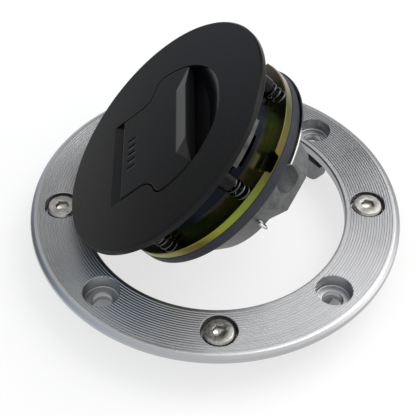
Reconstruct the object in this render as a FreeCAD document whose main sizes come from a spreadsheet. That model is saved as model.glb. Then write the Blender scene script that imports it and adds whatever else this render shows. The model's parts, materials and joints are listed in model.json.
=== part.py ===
import FreeCAD, Part
import math
import os
import re

# Fuel filler cap on a bolt-down bezel ring, shown open.
# Everything is drawn with the cap closed: Z = 0 is the seat plane of the ring, Z up on the ring's
# axis, the hinge at -X. Depths are measured down from the lid's top face. At the end the pieces
# that swing with the cap are turned about the hinge pins by open_angle.

doc = FreeCAD.newDocument("FillerCap")
sheet = doc.addObject("Spreadsheet::Sheet", "Sizes")

SIZES = [
    ("ring_height", 8.0, "seat plane to the ring's top face"),
    ("ring_radius", 57.8, "bezel ring, outside"),
    ("bore_radius", 40.6, "bezel ring, bore"),
    ("rim_thick", 2.4, "bezel ring at its outer edge"),
    ("rim_bevel", 0.8, "bevel round the outer edge"),
    ("wall_thick", 3.2, "bezel ring at its bore"),
    ("wall_reach", 54.4, "radius where the thicker part ends"),
    ("bolt_circle", 48.0, "radius of the circle of screws and mount holes"),
    ("seat_radius", 5.4, "screw seats and counterbores"),
    ("seat_depth", 2.9, "depth of a screw seat"),
    ("seat_web", 1.4, "metal under a screw seat"),
    ("screw_boss", 6.9, "boss under a screw seat"),
    ("base_boss", 5.0, "boss of the base ring round a screw"),
    ("screw_radius", 2.5, "shank of a ring screw"),
    ("screw_head", 4.75, "head of a ring screw"),
    ("screw_head_tall", 2.75, "height of a ring screw's head"),
    ("screw_head_side", 2.0, "straight side of that head"),
    ("screw_dome", 4.0, "top of a ring screw's head"),
    ("screw_short", 0.2, "seat plane to a ring screw's end"),
    ("screw_key", 2.1, "corner radius of the hex socket"),
    ("screw_key_deep", 1.7, "depth of the hex socket"),
    ("cbore_depth", 4.7, "depth of a mount counterbore"),
    ("mount_hole", 3.0, "mount hole"),
    ("mount_boss", 6.2, "boss round a mount counterbore"),
    ("hole_gap", 0.05, "gap round a shank or a pin"),
    ("base_thick", 1.6, "plate of the base ring"),
    ("base_inner", 45.8, "base ring, bore"),
    ("base_rim", 6.4, "hinge axis to the base ring's edge"),
    ("base_pad", 4.6, "pad round a mount hole"),
    ("skirt_thick", 1.4, "skirt at the base ring's edge"),
    ("lug_angle", 39.0, "azimuth of the guide lugs"),
    ("lug_inner", 41.3, "inner face of a guide lug"),
    ("lug_thick", 3.1, "guide lug, radially"),
    ("lug_half", 5.2, "half width and end radius of a guide lug"),
    ("lug_drop", 14.5, "ring's top face to the lug's end"),
    ("hinge_x", 46.6, "hinge axis, distance from the ring's axis"),
    ("hinge_drop", 5.2, "hinge axis, depth under the ring's top face"),
    ("open_angle", 44.0, "how far the cap stands open"),
    ("pin_radius", 1.25, "hinge pin"),
    ("pin_from", 4.2, "inner end of a hinge pin"),
    ("pin_to", 14.2, "outer end of a hinge pin"),
    ("knuckle_radius", 2.4, "hinge arm's knuckle"),
    ("knuckle_from", 6.5, "inner face of a knuckle"),
    ("knuckle_to", 10.4, "outer face of a knuckle"),
    ("knuckle_gap", 0.3, "side gap of a knuckle"),
    ("ear_half", 3.2, "half width of a hinge ear"),
    ("arm_thick", 2.4, "bar of the hinge arm"),
    ("arm_drop", 8.1, "hinge axis down to the arm's low bar"),
    ("arm_lean", 2.9, "sideways run of the arm's first leg"),
    ("arm_inner", 33.0, "inner face of the arm's upright"),
    ("arm_pad_end", 27.6, "end of the arm's pad"),
    ("arm_pad_thick", 1.8, "pad of the hinge arm"),
    ("arm_screw_x", 30.4, "arm screws, distance from the axis"),
    ("arm_screw_y", 6.0, "arm screws, off the middle"),
    ("lid_radius", 39.0, "lid"),
    ("lid_edge", 2.0, "lid at its edge"),
    ("lid_bevel", 0.5, "bevel of the lid's top edge"),
    ("lid_thick", 2.8, "lid over its bosses"),
    ("lid_inner", 35.8, "radius of the thicker part"),
    ("bowl_radius", 24.4, "bowl under the key-cover pocket"),
    ("bowl_depth", 5.6, "underside of the bowl"),
    ("pocket_depth", 4.2, "floor of the key-cover pocket"),
    ("scoop_start", 16.2, "where the finger scoop's floor starts to rise, from the axis"),
    ("cover_radius", 23.2, "round part of the key cover"),
    ("cover_half", 16.1, "half width of the key cover's tongue"),
    ("cover_left", 16.0, "straight edge of the key cover"),
    ("cover_right", 12.0, "grip edge of the key cover"),
    ("cover_thick", 2.0, "key cover"),
    ("cover_gap", 0.25, "gap round the key cover"),
    ("shoulder_start", 8.0, "where the tongue's edge starts to turn"),
    ("shoulder_in", 6.0, "inner radius of the shoulder"),
    ("shoulder_out", 4.0, "outer radius of the shoulder"),
    ("ridge_start", 6.6, "foot of the grip ridge"),
    ("ridge_foot_half", 13.0, "half width of the ridge's foot"),
    ("ridge_half", 11.5, "half width of the ridge's crest"),
    ("ridge_tall", 1.4, "height of the crest"),
    ("relief_reach", 20.0, "start of the sloped relief at the hinge side"),
    ("relief_half", 16.6, "half width of the relief"),
    ("relief_deep", 2.3, "depth of the relief at the cover"),
    ("cover_pin", 0.6, "pin of the key cover"),
    ("cover_pin_x", 14.9, "pin of the key cover, from the axis"),
    ("cover_pin_deep", 1.1, "pin of the key cover, depth"),
    ("cover_pin_half", 18.2, "half length of that pin"),
    ("leaf_thick", 0.3, "leaf spring under the key cover"),
    ("leaf_long", 6.0, "its length"),
    ("leaf_wide", 8.0, "its width"),
    ("cover_screw_in", 1.8, "reach of the arm screws into the lid"),
    ("body_screw_in", 4.3, "reach of the paired body screws into the lid"),
    ("far_screw_in", 3.4, "reach of the single body screw into the lid"),
    ("screw_bottom", 0.1, "depth left free at the end of a small screw"),
    ("body_screw_deep", 3.0, "seat of the body screws under the latch body's end"),
    ("collar_radius", 8.4, "collar round the keyhole"),
    ("collar_bore", 6.7, "bore of the collar"),
    ("collar_top", 2.4, "top of the collar, depth"),
    ("barrel_radius", 6.45, "lock cylinder"),
    ("barrel_top", 2.6, "face of the lock cylinder, depth"),
    ("barrel_end", 7.9, "shoulder of the lock cylinder, depth"),
    ("barrel_square", 6.0, "square that drives the cam"),
    ("barrel_stub", 2.9, "round end under the cam"),
    ("barrel_tip", 10.6, "end of the lock cylinder, depth"),
    ("key_long", 8.0, "keyway, length"),
    ("key_wide", 1.4, "keyway, width"),
    ("key_deep", 4.4, "keyway, depth"),
    ("body_radius", 24.2, "latch body"),
    ("body_screw", 1.5, "shank of the small screws"),
    ("screw_root", 0.2, "overlap of a small screw's shank and head"),
    ("small_head", 2.6, "head of the small screws"),
    ("small_head_tall", 1.5, "height of that head"),
    ("cavity_radius", 18.4, "cam's cavity"),
    ("cavity_top", 7.5, "top of the cam's cavity, depth"),
    ("cover_plate_top", 10.9, "cover plate under the cam, depth"),
    ("cover_plate_end", 12.3, "its underside"),
    ("cam_radius", 18.0, "latch cam"),
    ("cam_top", 7.95, "top of the cam, depth"),
    ("cam_thick", 1.5, "latch cam"),
    ("clip_radius", 5.0, "clip under the cam"),
    ("clip_thick", 0.7, "clip under the cam"),
    ("slot_gap", 0.12, "gap round a bolt's pin in its slot"),
    ("bolt_angle", 36.5, "azimuth of the latch bolts"),
    ("bolt_travel", 6.1, "travel of a latch bolt"),
    ("bolt_pin", 1.5, "pin of a latch bolt"),
    ("bolt_pin_root", 0.5, "overlap of that pin and the bolt's bar"),
    ("bolt_pin_free", 0.2, "cam's underside to the pin's end"),
    ("bolt_pin_at", 9.0, "place of that pin, from the axis"),
    ("bar_start", 7.1, "inner end of a bolt's bar"),
    ("bar_half", 4.0, "half width of a bolt's bar"),
    ("bar_top", 5.8, "bolt's bar, depth"),
    ("bar_end", 7.4, "bolt's bar, underside"),
    ("bar_gap", 0.15, "side gap of a bolt's bar"),
    ("blade_top", 4.0, "bolt's blade, depth"),
    ("blade_end", 5.6, "bolt's blade, underside"),
    ("blade_start", 25.4, "inner edge of a bolt's blade"),
    ("blade_radius", 35.6, "front edge of a bolt's blade"),
    ("blade_half", 7.4, "half width of a bolt's blade"),
    ("step_long", 1.9, "step between blade and bar"),
    ("stack_shift", 2.4, "how far the seal stack sits towards the latch"),
    ("drum_radius", 29.3, "inner drum"),
    ("drum_bore", 27.2, "inner drum, bore"),
    ("drum_top", 7.4, "top of the drum, depth"),
    ("drum_slot_half", 4.8, "half width of a slot for a bolt"),
    ("drum_slot_end", 9.7, "bottom of that slot, depth"),
    ("plate_radius", 33.4, "seal plate"),
    ("plate_bore", 25.5, "seal plate, bore"),
    ("plate_top", 14.3, "top of the seal plate, depth"),
    ("plate_thick", 2.6, "seal plate"),
    ("notch_angle", 39.2, "azimuth of the plate's notches"),
    ("notch_half", 2.8, "half width of a notch"),
    ("notch_deep", 2.0, "depth of a notch, along the axis"),
    ("notch_in", 30.6, "inner end of a notch"),
    ("seal_radius", 33.5, "main seal"),
    ("seal_bore", 26.0, "main seal, bore"),
    ("seal_thick", 3.5, "main seal"),
    ("retainer_radius", 34.1, "seal retainer where it is wide"),
    ("retainer_narrow", 31.4, "seal retainer where it is narrow"),
    ("retainer_bore", 26.6, "seal retainer, bore"),
    ("retainer_thick", 0.5, "seal retainer"),
    ("retainer_start", 35.0, "azimuth where its wide part starts"),
    ("retainer_span", 122.0, "angle of its wide part"),
    ("float_travel", 1.5, "how far the stack can rise"),
    ("float_gap", 0.2, "what is left above the raised stack"),
    ("spring_wire", 0.33, "wire radius of a lift spring"),
    ("spring_coil", 2.1, "mean radius of a lift spring"),
    ("spring_turns", 3.0, "turns of a lift spring"),
    ("spring_at", 31.1, "lift springs, from the stack's axis"),
    ("spring_step", 59.0, "azimuth of the second pair of springs"),
    ("spring_far", 111.0, "azimuth of the third pair of springs"),
    ("post_radius", 2.7, "spring post of the lid"),
    ("post_end", 8.6, "end of a spring post, depth"),
    ("spigot_radius", 1.5, "spigot inside a spring"),
    ("spigot_end", 10.0, "end of that spigot, depth"),
    ("spigot_root", 0.5, "overlap of the spigot and its post"),
    ("scallop_radius", 2.9, "scallop of the drum at a spring"),
    ("neck_radius", 22.5, "base casting where it passes the plate"),
    ("flange_radius", 29.0, "flange under the seal"),
    ("flange_thick", 1.6, "flange under the seal"),
    ("base_top_radius", 28.3, "base casting under its flange"),
    ("base_low_radius", 19.3, "base casting at its end"),
    ("lobe_low_radius", 26.1, "its lobe on the latch side, at the end"),
    ("base_end", 36.0, "end of the base casting, depth"),
    ("lobe_side_angle", 97.0, "azimuth that a side of the lobe faces"),
    ("lobe_side_reach", 15.4, "distance of that side at the casting's end"),
    ("lobe_side_lean", 28.0, "lean of that side"),
    ("facet_right_angle", 44.4, "azimuth of the lobe's flat with the recess"),
    ("facet_right_reach", 24.1, "distance of that flat at the casting's end"),
    ("facet_left_angle", 17.3, "azimuth of the lobe's other flat"),
    ("facet_left_reach", 24.4, "distance of that flat at the casting's end"),
    ("facet_lean", 16.5, "lean of both flats"),
    ("screw_post", 4.4, "post round the base screw outside the lobe"),
    ("screw_post_end", 29.5, "end of that post, depth"),
    ("hollow_radius", 16.6, "hollow of the base casting"),
    ("hollow_top", 15.5, "top of the hollow, depth"),
    ("dent_angle", 32.5, "azimuth of the round recess"),
    ("dent_ball", 6.5, "radius of that recess"),
    ("dent_from", 31.3, "middle of its curve, from the axis"),
    ("dent_at", 29.8, "middle of its curve, depth"),
    ("long_screw_at", 20.6, "base screws, from the axis"),
    ("long_screw_angle", 30.0, "azimuth of the base screw in the lobe"),
    ("long_screw_head", 26.5, "seat of the base screws, depth"),
    ("long_screw_tip", 9.2, "end of the base screws, depth"),
    ("lid_screw_x", 12.2, "pair of body screws, from the axis"),
    ("lid_screw_y", 18.6, "pair of body screws, off the middle"),
    ("lid_screw_far", 21.6, "single body screw, from the axis"),
    ("end_cover_thick", 1.4, "cover of the base casting's hollow"),
    ("vent_radius", 5.0, "vent valve's body"),
    ("vent_bore", 3.0, "its bore"),
    ("vent_top", 22.0, "its top, depth"),
    ("vent_wall", 2.0, "seat wall over the ball"),
    ("vent_hole", 1.4, "breather hole"),
    ("ball_radius", 2.7, "vent ball"),
    ("vent_coil", 2.2, "mean radius of the vent spring"),
    ("vent_wire", 0.3, "its wire radius"),
    ("vent_turns", 5.0, "its turns"),
    ("eye_angle", 65.0, "azimuth of the wire eye"),
    ("eye_out", 1.6, "base casting's wall to the wire eye"),
    ("eye_up", 4.2, "base casting's end to the wire eye"),
    ("eye_radius", 1.7, "wire eye"),
    ("eye_wire", 0.45, "wire eye's wire"),
]
ALIASES = {alias for alias, number, note in SIZES}
DERIVED = {
    "base_outer": "(hinge_x + base_rim)",
    "hinge_z": "(ring_height - hinge_drop)",
    "boss_top": "(ring_height - seat_depth - seat_web)",
    "body_end": "(plate_top - float_travel - float_gap)",
    "plate_end": "(plate_top + plate_thick)",
    "seal_end": "(plate_top + plate_thick + seal_thick)",
    "stop_top": "(plate_top + plate_thick + seal_thick + retainer_thick)",
    "stop_end": "(plate_top + plate_thick + seal_thick + retainer_thick + flange_thick)",
    "end_top": "(base_end - end_cover_thick)",
}
for row, (alias, number, note) in enumerate(SIZES, start=1):
    sheet.set("A%d" % row, note)
    sheet.set("B%d" % row, str(number))
    sheet.setAlias("B%d" % row, alias)
doc.recompute()

X_AXIS = FreeCAD.Vector(1, 0, 0)
Y_AXIS = FreeCAD.Vector(0, 1, 0)
Z_AXIS = FreeCAD.Vector(0, 0, 1)


def size(alias):
    """The number in a cell of the sheet."""
    return float(sheet.get(alias))


def in_sheet(match):
    """A name as a formula needs it: with the sheet's name before it where it is one of the sizes."""
    name = match.group(0)
    return "Sizes." + name if name in ALIASES else name


def bind(thing, field, text):
    """Bind a property to a formula in which names of the sheet and of DERIVED stand alone."""
    whole = re.sub(r"[a-z_]+", lambda m: DERIVED.get(m.group(0), m.group(0)), text)
    thing.setExpression(field, re.sub(r"[a-z_]+", in_sheet, whole))


def place(thing, x="0", y="0", z="0", azimuth=None):
    """Bind the place; with an azimuth in degrees, x and y turn about the ring's axis."""
    if azimuth is None:
        bind(thing, "Placement.Base.x", x)
        bind(thing, "Placement.Base.y", y)
    else:
        turn = "((%s) * 1deg)" % azimuth
        bind(thing, "Placement.Base.x", "(%s) * cos%s - (%s) * sin%s" % (x, turn, y, turn))
        bind(thing, "Placement.Base.y", "(%s) * sin%s + (%s) * cos%s" % (x, turn, y, turn))
        thing.Placement.Rotation = FreeCAD.Rotation(Z_AXIS, 0)
        bind(thing, "Placement.Rotation.Angle", azimuth)
    bind(thing, "Placement.Base.z", z)
    return thing


def cylinder(radius, height, x="0", y="0", z="0", azimuth=None):
    rod = doc.addObject("Part::Cylinder", "Rod")
    bind(rod, "Radius", radius)
    bind(rod, "Height", height)
    return place(rod, x, y, z, azimuth)


def cone(low, high, height, x="0", y="0", z="0", azimuth=None):
    taper = doc.addObject("Part::Cone", "Taper")
    bind(taper, "Radius1", low)
    bind(taper, "Radius2", high)
    bind(taper, "Height", height)
    return place(taper, x, y, z, azimuth)


def block(long, wide, tall, x="0", y="0", z="0", azimuth=None):
    """A box centred in its width, from x outwards and from z upwards."""
    box = doc.addObject("Part::Box", "Block")
    bind(box, "Length", long)
    bind(box, "Width", wide)
    bind(box, "Height", tall)
    return place(box, x, "(%s) - (%s) / 2" % (y, wide), z, azimuth)


def cross_rod(radius, start, end, x, z):
    """A cylinder along +Y."""
    rod = doc.addObject("Part::Cylinder", "CrossRod")
    bind(rod, "Radius", radius)
    bind(rod, "Height", "(%s) - (%s)" % (end, start))
    rod.Placement = FreeCAD.Placement(FreeCAD.Vector(), FreeCAD.Rotation(X_AXIS, -90))
    bind(rod, "Placement.Base.x", x)
    bind(rod, "Placement.Base.y", start)
    bind(rod, "Placement.Base.z", z)
    return rod


def disc(radius, top, end, x="0", y="0", azimuth=None):
    """A disc between two depths under the lid's top face."""
    return cylinder(radius, "(%s) - (%s)" % (end, top), x, y, "ring_height - (%s)" % end, azimuth)


def slab(long, wide, top, end, x="0", y="0", azimuth=None):
    """A block between two depths under the lid's top face."""
    return block(long, wide, "(%s) - (%s)" % (end, top), x, y, "ring_height - (%s)" % end, azimuth)


def union(pieces):
    whole = doc.addObject("Part::MultiFuse", "Union")
    whole.Shapes = pieces
    return whole


def less(base, tools):
    rest = doc.addObject("Part::Cut", "Less")
    rest.Base = base
    rest.Tool = tools[0] if len(tools) == 1 else union(tools)
    return rest


def common(first, second):
    shared = doc.addObject("Part::MultiCommon", "Shared")
    shared.Shapes = [first, second]
    return shared


def group(pieces):
    bundle = doc.addObject("Part::Compound", "Group")
    bundle.Links = pieces
    return bundle


def feature(shape):
    solid = doc.addObject("Part::Feature", "Shaped")
    solid.Shape = shape
    return solid


NODES = []
FIXED = ("bezel_ring", "base_ring", "ring_screws", "hinge_pins")


def node(label, thing):
    """Name a finished piece; pieces of the cap are turned about the hinge axis."""
    thing.Label = label
    NODES.append(thing)
    if label not in FIXED:
        turn = "(open_angle * 1deg)"
        thing.Placement.Rotation = FreeCAD.Rotation(FreeCAD.Vector(0, -1, 0), 1)
        bind(thing, "Placement.Rotation.Angle", "open_angle")
        bind(thing, "Placement.Base.x", "hinge_x * (cos%s - 1) + hinge_z * sin%s" % (turn, turn))
        bind(thing, "Placement.Base.z", "hinge_x * sin%s + hinge_z * (1 - cos%s)" % (turn, turn))
    return thing


QUARTERS = ("0", "90", "180", "270")
CORNERS = ("45", "135", "225", "315")
SIDES = ("", "-")

# Bezel ring: a flange with a thicker wall at the bore and a boss under each seat.
flange = [
    cylinder("ring_radius", "rim_thick - rim_bevel", z="ring_height - rim_thick"),
    cone("ring_radius", "ring_radius - rim_bevel", "rim_bevel", z="ring_height - rim_bevel"),
    cylinder("wall_reach", "wall_thick", z="ring_height - wall_thick")]
openings = [
    cylinder("bore_radius", "ring_height + 2", z="-1"),
    cone("bore_radius", "bore_radius + rim_bevel / 2", "rim_bevel / 2", z="ring_height - rim_bevel / 2")]
for q in QUARTERS:
    flange.append(cylinder("screw_boss", "ring_height - boss_top", "bolt_circle", z="boss_top", azimuth=q))
    openings.append(cylinder("seat_radius", "seat_depth + 1", "bolt_circle",
                             z="ring_height - seat_depth", azimuth=q))
    openings.append(cylinder("screw_radius + hole_gap", "ring_height", "bolt_circle", azimuth=q))
for q in CORNERS:
    flange.append(cylinder("mount_boss", "ring_height - base_thick", "bolt_circle",
                           z="base_thick", azimuth=q))
    openings.append(cylinder("seat_radius", "cbore_depth + 1", "bolt_circle",
                             z="ring_height - cbore_depth", azimuth=q))
    openings.append(cylinder("mount_hole", "ring_height", "bolt_circle", azimuth=q))
relief_top = "hinge_z + knuckle_radius + knuckle_gap"
for side in SIDES:
    openings.append(block("2 * ear_half + 2 * knuckle_gap", "pin_to - pin_from + 2 * knuckle_gap",
                          "ring_height - wall_thick", "-hinge_x - ear_half - knuckle_gap",
                          side + "(pin_from + pin_to) / 2"))
    openings.append(block("hinge_x - bore_radius + 6", "knuckle_to - knuckle_from + 2 * knuckle_gap",
                          relief_top, "-hinge_x - knuckle_radius - knuckle_gap",
                          side + "(knuckle_from + knuckle_to) / 2", "0"))
node("bezel_ring", less(union(flange), openings))

# Base ring: a plate under the bezel with screw bosses, hinge ears and two guide lugs.
skirt = less(cylinder("base_outer", "ring_height - wall_thick"),
             [cylinder("base_outer - skirt_thick", "ring_height", z="base_thick")]
             + [cylinder("screw_boss + knuckle_gap", "ring_height", "bolt_circle", "0", "base_thick", q)
                for q in QUARTERS]
             + [cylinder("mount_boss + knuckle_gap", "ring_height", "bolt_circle", "0", "base_thick", q)
                for q in CORNERS])
bore = cylinder("base_inner", "ring_height + 2", z="-1")
plate = [less(skirt, [bore])]
plate += [cylinder("base_pad", "base_thick", "bolt_circle", "0", "0", q) for q in CORNERS]
plate += [cylinder("base_boss", "boss_top", "bolt_circle", "0", "0", q) for q in QUARTERS]
holes = [cylinder("screw_radius + hole_gap", "ring_height", "bolt_circle", "0", "-1", q) for q in QUARTERS]
holes += [cylinder("mount_hole", "ring_height", "bolt_circle", "0", "-1", q) for q in CORNERS]
ears = []
for side in SIDES:
    ears.append(block("2 * ear_half", "knuckle_from - knuckle_gap - pin_from", "ring_height - wall_thick",
                      "-hinge_x - ear_half", side + "(pin_from + knuckle_from - knuckle_gap) / 2"))
    ears.append(block("2 * ear_half", "pin_to - knuckle_to - knuckle_gap", "ring_height - wall_thick",
                      "-hinge_x - ear_half", side + "(pin_to + knuckle_to + knuckle_gap) / 2"))
    holes.append(block("hinge_x + knuckle_radius + knuckle_gap - bore_radius",
                       "knuckle_to - knuckle_from + 2 * knuckle_gap",
                       "ring_height + 2", "-hinge_x - knuckle_radius - knuckle_gap",
                       side + "(knuckle_from + knuckle_to) / 2", "-1"))
    holes.append(cross_rod("pin_radius", side + "(pin_from + pin_to) / 2 - (pin_to - pin_from) / 2",
                           side + "(pin_from + pin_to) / 2 + (pin_to - pin_from) / 2", "-hinge_x", "hinge_z"))
low = "(ring_height - lug_drop + lug_half)"
lugs = []
for side in SIDES:
    lug_end = doc.addObject("Part::Cylinder", "RoundEnd")
    bind(lug_end, "Radius", "lug_half")
    bind(lug_end, "Height", "lug_thick")
    lug_end.Placement = FreeCAD.Placement(FreeCAD.Vector(), FreeCAD.Rotation(Y_AXIS, 90))
    bind(lug_end, "Placement.Base.x", "lug_inner")
    bind(lug_end, "Placement.Base.z", low)
    lug = union([
        block("base_inner + 1 - lug_inner", "2 * lug_half", "base_thick", "lug_inner"),
        block("lug_thick", "2 * lug_half", "base_thick - " + low, "lug_inner", z=low),
        less(lug_end, [block("lug_thick + 2", "2 * lug_half + 2", "lug_half + 1", "lug_inner - 1", z=low)])])
    lugs.append(place(lug, azimuth=side + "lug_angle"))
node("base_ring", less(union(plate + ears + lugs), holes))

# Screws of the bezel: button heads with a hex socket.
screws = []
for q in QUARTERS:
    seat = "ring_height - seat_depth"
    body = union([
        cylinder("screw_radius", "ring_height - seat_depth - screw_short", "bolt_circle",
                 z="screw_short", azimuth=q),
        cylinder("screw_head", "screw_head_side", "bolt_circle", "0", seat, q),
        cone("screw_head", "screw_dome", "screw_head_tall - screw_head_side", "bolt_circle", "0",
             seat + " + screw_head_side", q)])
    socket = doc.addObject("Part::Prism", "Socket")
    socket.Polygon = 6
    bind(socket, "Circumradius", "screw_key")
    bind(socket, "Height", "screw_key_deep + 1")
    place(socket, "bolt_circle", "0", seat + " + screw_head_tall - screw_key_deep", q)
    screws.append(less(body, [socket]))
node("ring_screws", group(screws))
node("hinge_pins", group([
    cross_rod("pin_radius", "pin_from", "pin_to", "-hinge_x", "hinge_z"),
    cross_rod("pin_radius", "-pin_to", "-pin_from", "-hinge_x", "hinge_z")]))


def cover_outline(gap, top, end):
    """Prism of the key cover: a tongue with a straight edge that steps out to a round head
    over two tangent arcs. With a gap it is the pocket that the cover lies in."""
    head, half = size("cover_radius") + gap, size("cover_half") + gap
    left = -size("cover_left") - gap
    near = FreeCAD.Vector(-size("shoulder_start"), -size("cover_half") - size("shoulder_in"), 0)
    reach = size("cover_radius") - size("shoulder_out")
    span = size("shoulder_in") + size("shoulder_out")
    far = near.Length
    along = (reach ** 2 - span ** 2 + far ** 2) / (2 * far)
    off = math.sqrt(reach ** 2 - along ** 2)
    unit = FreeCAD.Vector(near).normalize()
    knee = unit * along + FreeCAD.Vector(-unit.y, unit.x, 0) * off
    touch = near + (knee - near).normalize() * (size("shoulder_in") - gap)
    leave = FreeCAD.Vector(knee).normalize() * head
    start = FreeCAD.Vector(near.x, -half, 0)
    inwards = (FreeCAD.Vector(0, 1, 0) + (touch - near).normalize()).normalize()
    bend = near + inwards * (size("shoulder_in") - gap)
    outwards = ((touch - knee).normalize() + FreeCAD.Vector(knee).normalize()).normalize()
    bulge = knee + outwards * (size("shoulder_out") + gap)

    def mirror(v):
        return FreeCAD.Vector(v.x, -v.y, 0)

    low = [Part.LineSegment(FreeCAD.Vector(left, -half, 0), start).toShape(),
           Part.Arc(start, bend, touch).toShape(),
           Part.Arc(touch, bulge, leave).toShape()]
    front = [Part.Arc(leave, FreeCAD.Vector(head, 0, 0), mirror(leave)).toShape()]
    high = [Part.Arc(mirror(leave), mirror(bulge), mirror(touch)).toShape(),
            Part.Arc(mirror(touch), mirror(bend), mirror(start)).toShape(),
            Part.LineSegment(mirror(start), FreeCAD.Vector(left, half, 0)).toShape(),
            Part.LineSegment(FreeCAD.Vector(left, half, 0), FreeCAD.Vector(left, -half, 0)).toShape()]
    face = Part.Face(Part.Wire(low + front + high))
    prism = face.extrude(FreeCAD.Vector(0, 0, end - top))
    prism.translate(FreeCAD.Vector(0, 0, size("ring_height") - end))
    return prism


def solid_of(points, faces):
    """A closed solid from corner points and the corners of each flat face."""
    sides = [Part.Face(Part.makePolygon([points[i] for i in loop] + [points[loop[0]]])) for loop in faces]
    return Part.Solid(Part.Shell(sides))


def spring_places():
    """Azimuths of the lift springs about the stack's axis."""
    return ("0", "spring_step", "-spring_step", "spring_far", "-spring_far")


def on_stack(radius, azimuth):
    """X and Y of a place on the stack, whose axis is shifted towards the latch."""
    turn = "((%s) * 1deg)" % azimuth
    return "(%s) * cos%s + stack_shift" % (radius, turn), "(%s) * sin%s" % (radius, turn)


# Lid: disc, bowl under the pocket, spring posts.
lid_body = [
    disc("lid_radius", "lid_bevel", "lid_edge"),
    cone("lid_radius", "lid_radius - lid_bevel", "lid_bevel", z="ring_height - lid_bevel"),
    disc("lid_inner", "lid_edge", "lid_thick"),
    disc("bowl_radius", "lid_edge", "bowl_depth")]
for azimuth in spring_places():
    x, y = on_stack("spring_at", azimuth)
    lid_body.append(disc("post_radius", "lid_edge", "post_end", x, y))
    lid_body.append(disc("spigot_radius", "post_end - spigot_root", "spigot_end", x, y))
top_z, half = size("ring_height"), size("relief_half")
reach, edge, deep = -size("relief_reach"), -size("cover_left") + 0.5, size("relief_deep")
relief = solid_of(
    [FreeCAD.Vector(reach, -half, top_z), FreeCAD.Vector(edge, -half, top_z),
     FreeCAD.Vector(edge, -half, top_z - deep), FreeCAD.Vector(reach, half, top_z),
     FreeCAD.Vector(edge, half, top_z), FreeCAD.Vector(edge, half, top_z - deep)],
    [(0, 1, 2), (3, 5, 4), (0, 3, 4, 1), (1, 4, 5, 2), (2, 5, 3, 0)])

# The finger scoop: the pocket's floor rises from the scoop's start to the top face at the round edge.
scoop_end, scoop_half = size("cover_radius") + size("cover_gap"), size("cover_radius") + 1
slope = [(size("scoop_start"), top_z - size("pocket_depth")), (scoop_end + 1, top_z - size("pocket_depth")),
         (scoop_end + 1, top_z), (scoop_end, top_z)]
rise = solid_of(
    [FreeCAD.Vector(x, y, z) for y in (-scoop_half, scoop_half) for x, z in slope],
    [(0, 1, 2, 3), (4, 7, 6, 5), (0, 4, 5, 1), (1, 5, 6, 2), (2, 6, 7, 3), (3, 7, 4, 0)])
pocket = less(feature(cover_outline(size("cover_gap"), -1.0, size("pocket_depth"))), [feature(rise)])
lid_holes = [
    pocket, feature(relief),
    disc("collar_bore", "pocket_depth - 1", "bowl_depth + 1"),
    cross_rod("cover_pin", "-cover_pin_half", "cover_pin_half", "-cover_pin_x",
              "ring_height - cover_pin_deep")]


def screw_hole(top, end, x, y="0", azimuth=None):
    """A hole for a small screw's shank between two depths."""
    return disc("body_screw + hole_gap", top, end, x, y, azimuth)


for side in SIDES:
    lid_holes.append(screw_hole("bowl_depth - body_screw_in - screw_bottom", "bowl_depth + 1",
                                "-lid_screw_x", side + "lid_screw_y"))
    lid_holes.append(screw_hole("lid_thick - cover_screw_in - screw_bottom", "lid_thick + 1",
                                "-arm_screw_x", side + "arm_screw_y"))
lid_holes.append(screw_hole("bowl_depth - far_screw_in - screw_bottom", "bowl_depth + 1", "-lid_screw_far"))
node("lid", less(union(lid_body), lid_holes))

# Key cover: the same outline up to its grip edge, with a ridge to pull on.
grip = size("cover_right")
crest, foot = size("ridge_tall"), size("ridge_start")
side_y = math.sqrt(size("cover_radius") ** 2 - grip ** 2)
low = top_z - size("cover_thick") / 2
ridge = solid_of(
    [FreeCAD.Vector(foot, -size("ridge_foot_half"), top_z), FreeCAD.Vector(grip, -side_y, top_z),
     FreeCAD.Vector(grip, side_y, top_z), FreeCAD.Vector(foot, size("ridge_foot_half"), top_z),
     FreeCAD.Vector(grip, -size("ridge_half"), top_z + crest),
     FreeCAD.Vector(grip, size("ridge_half"), top_z + crest)],
    [(0, 3, 2, 1), (0, 4, 5, 3), (0, 1, 4), (3, 5, 2), (1, 2, 5, 4)])
cover = less(union([
    common(feature(cover_outline(0.0, 0.0, size("cover_thick"))),
           slab("cover_left + cover_right + 1", "3 * cover_radius", "-1", "cover_thick + 1",
                "-cover_left - 1")),
    feature(ridge)]),
    [cross_rod("cover_pin + hole_gap", "-cover_radius", "cover_radius", "-cover_pin_x",
               "ring_height - cover_pin_deep")])
node("key_cover", cover)
node("cover_pin", group([cross_rod("cover_pin", "-cover_pin_half", "cover_pin_half", "-cover_pin_x",
                                   "ring_height - cover_pin_deep")]))
node("cover_leaf", group([slab("leaf_long", "leaf_wide", "pocket_depth - leaf_thick", "pocket_depth",
                              "-cover_left + 1")]))

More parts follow.
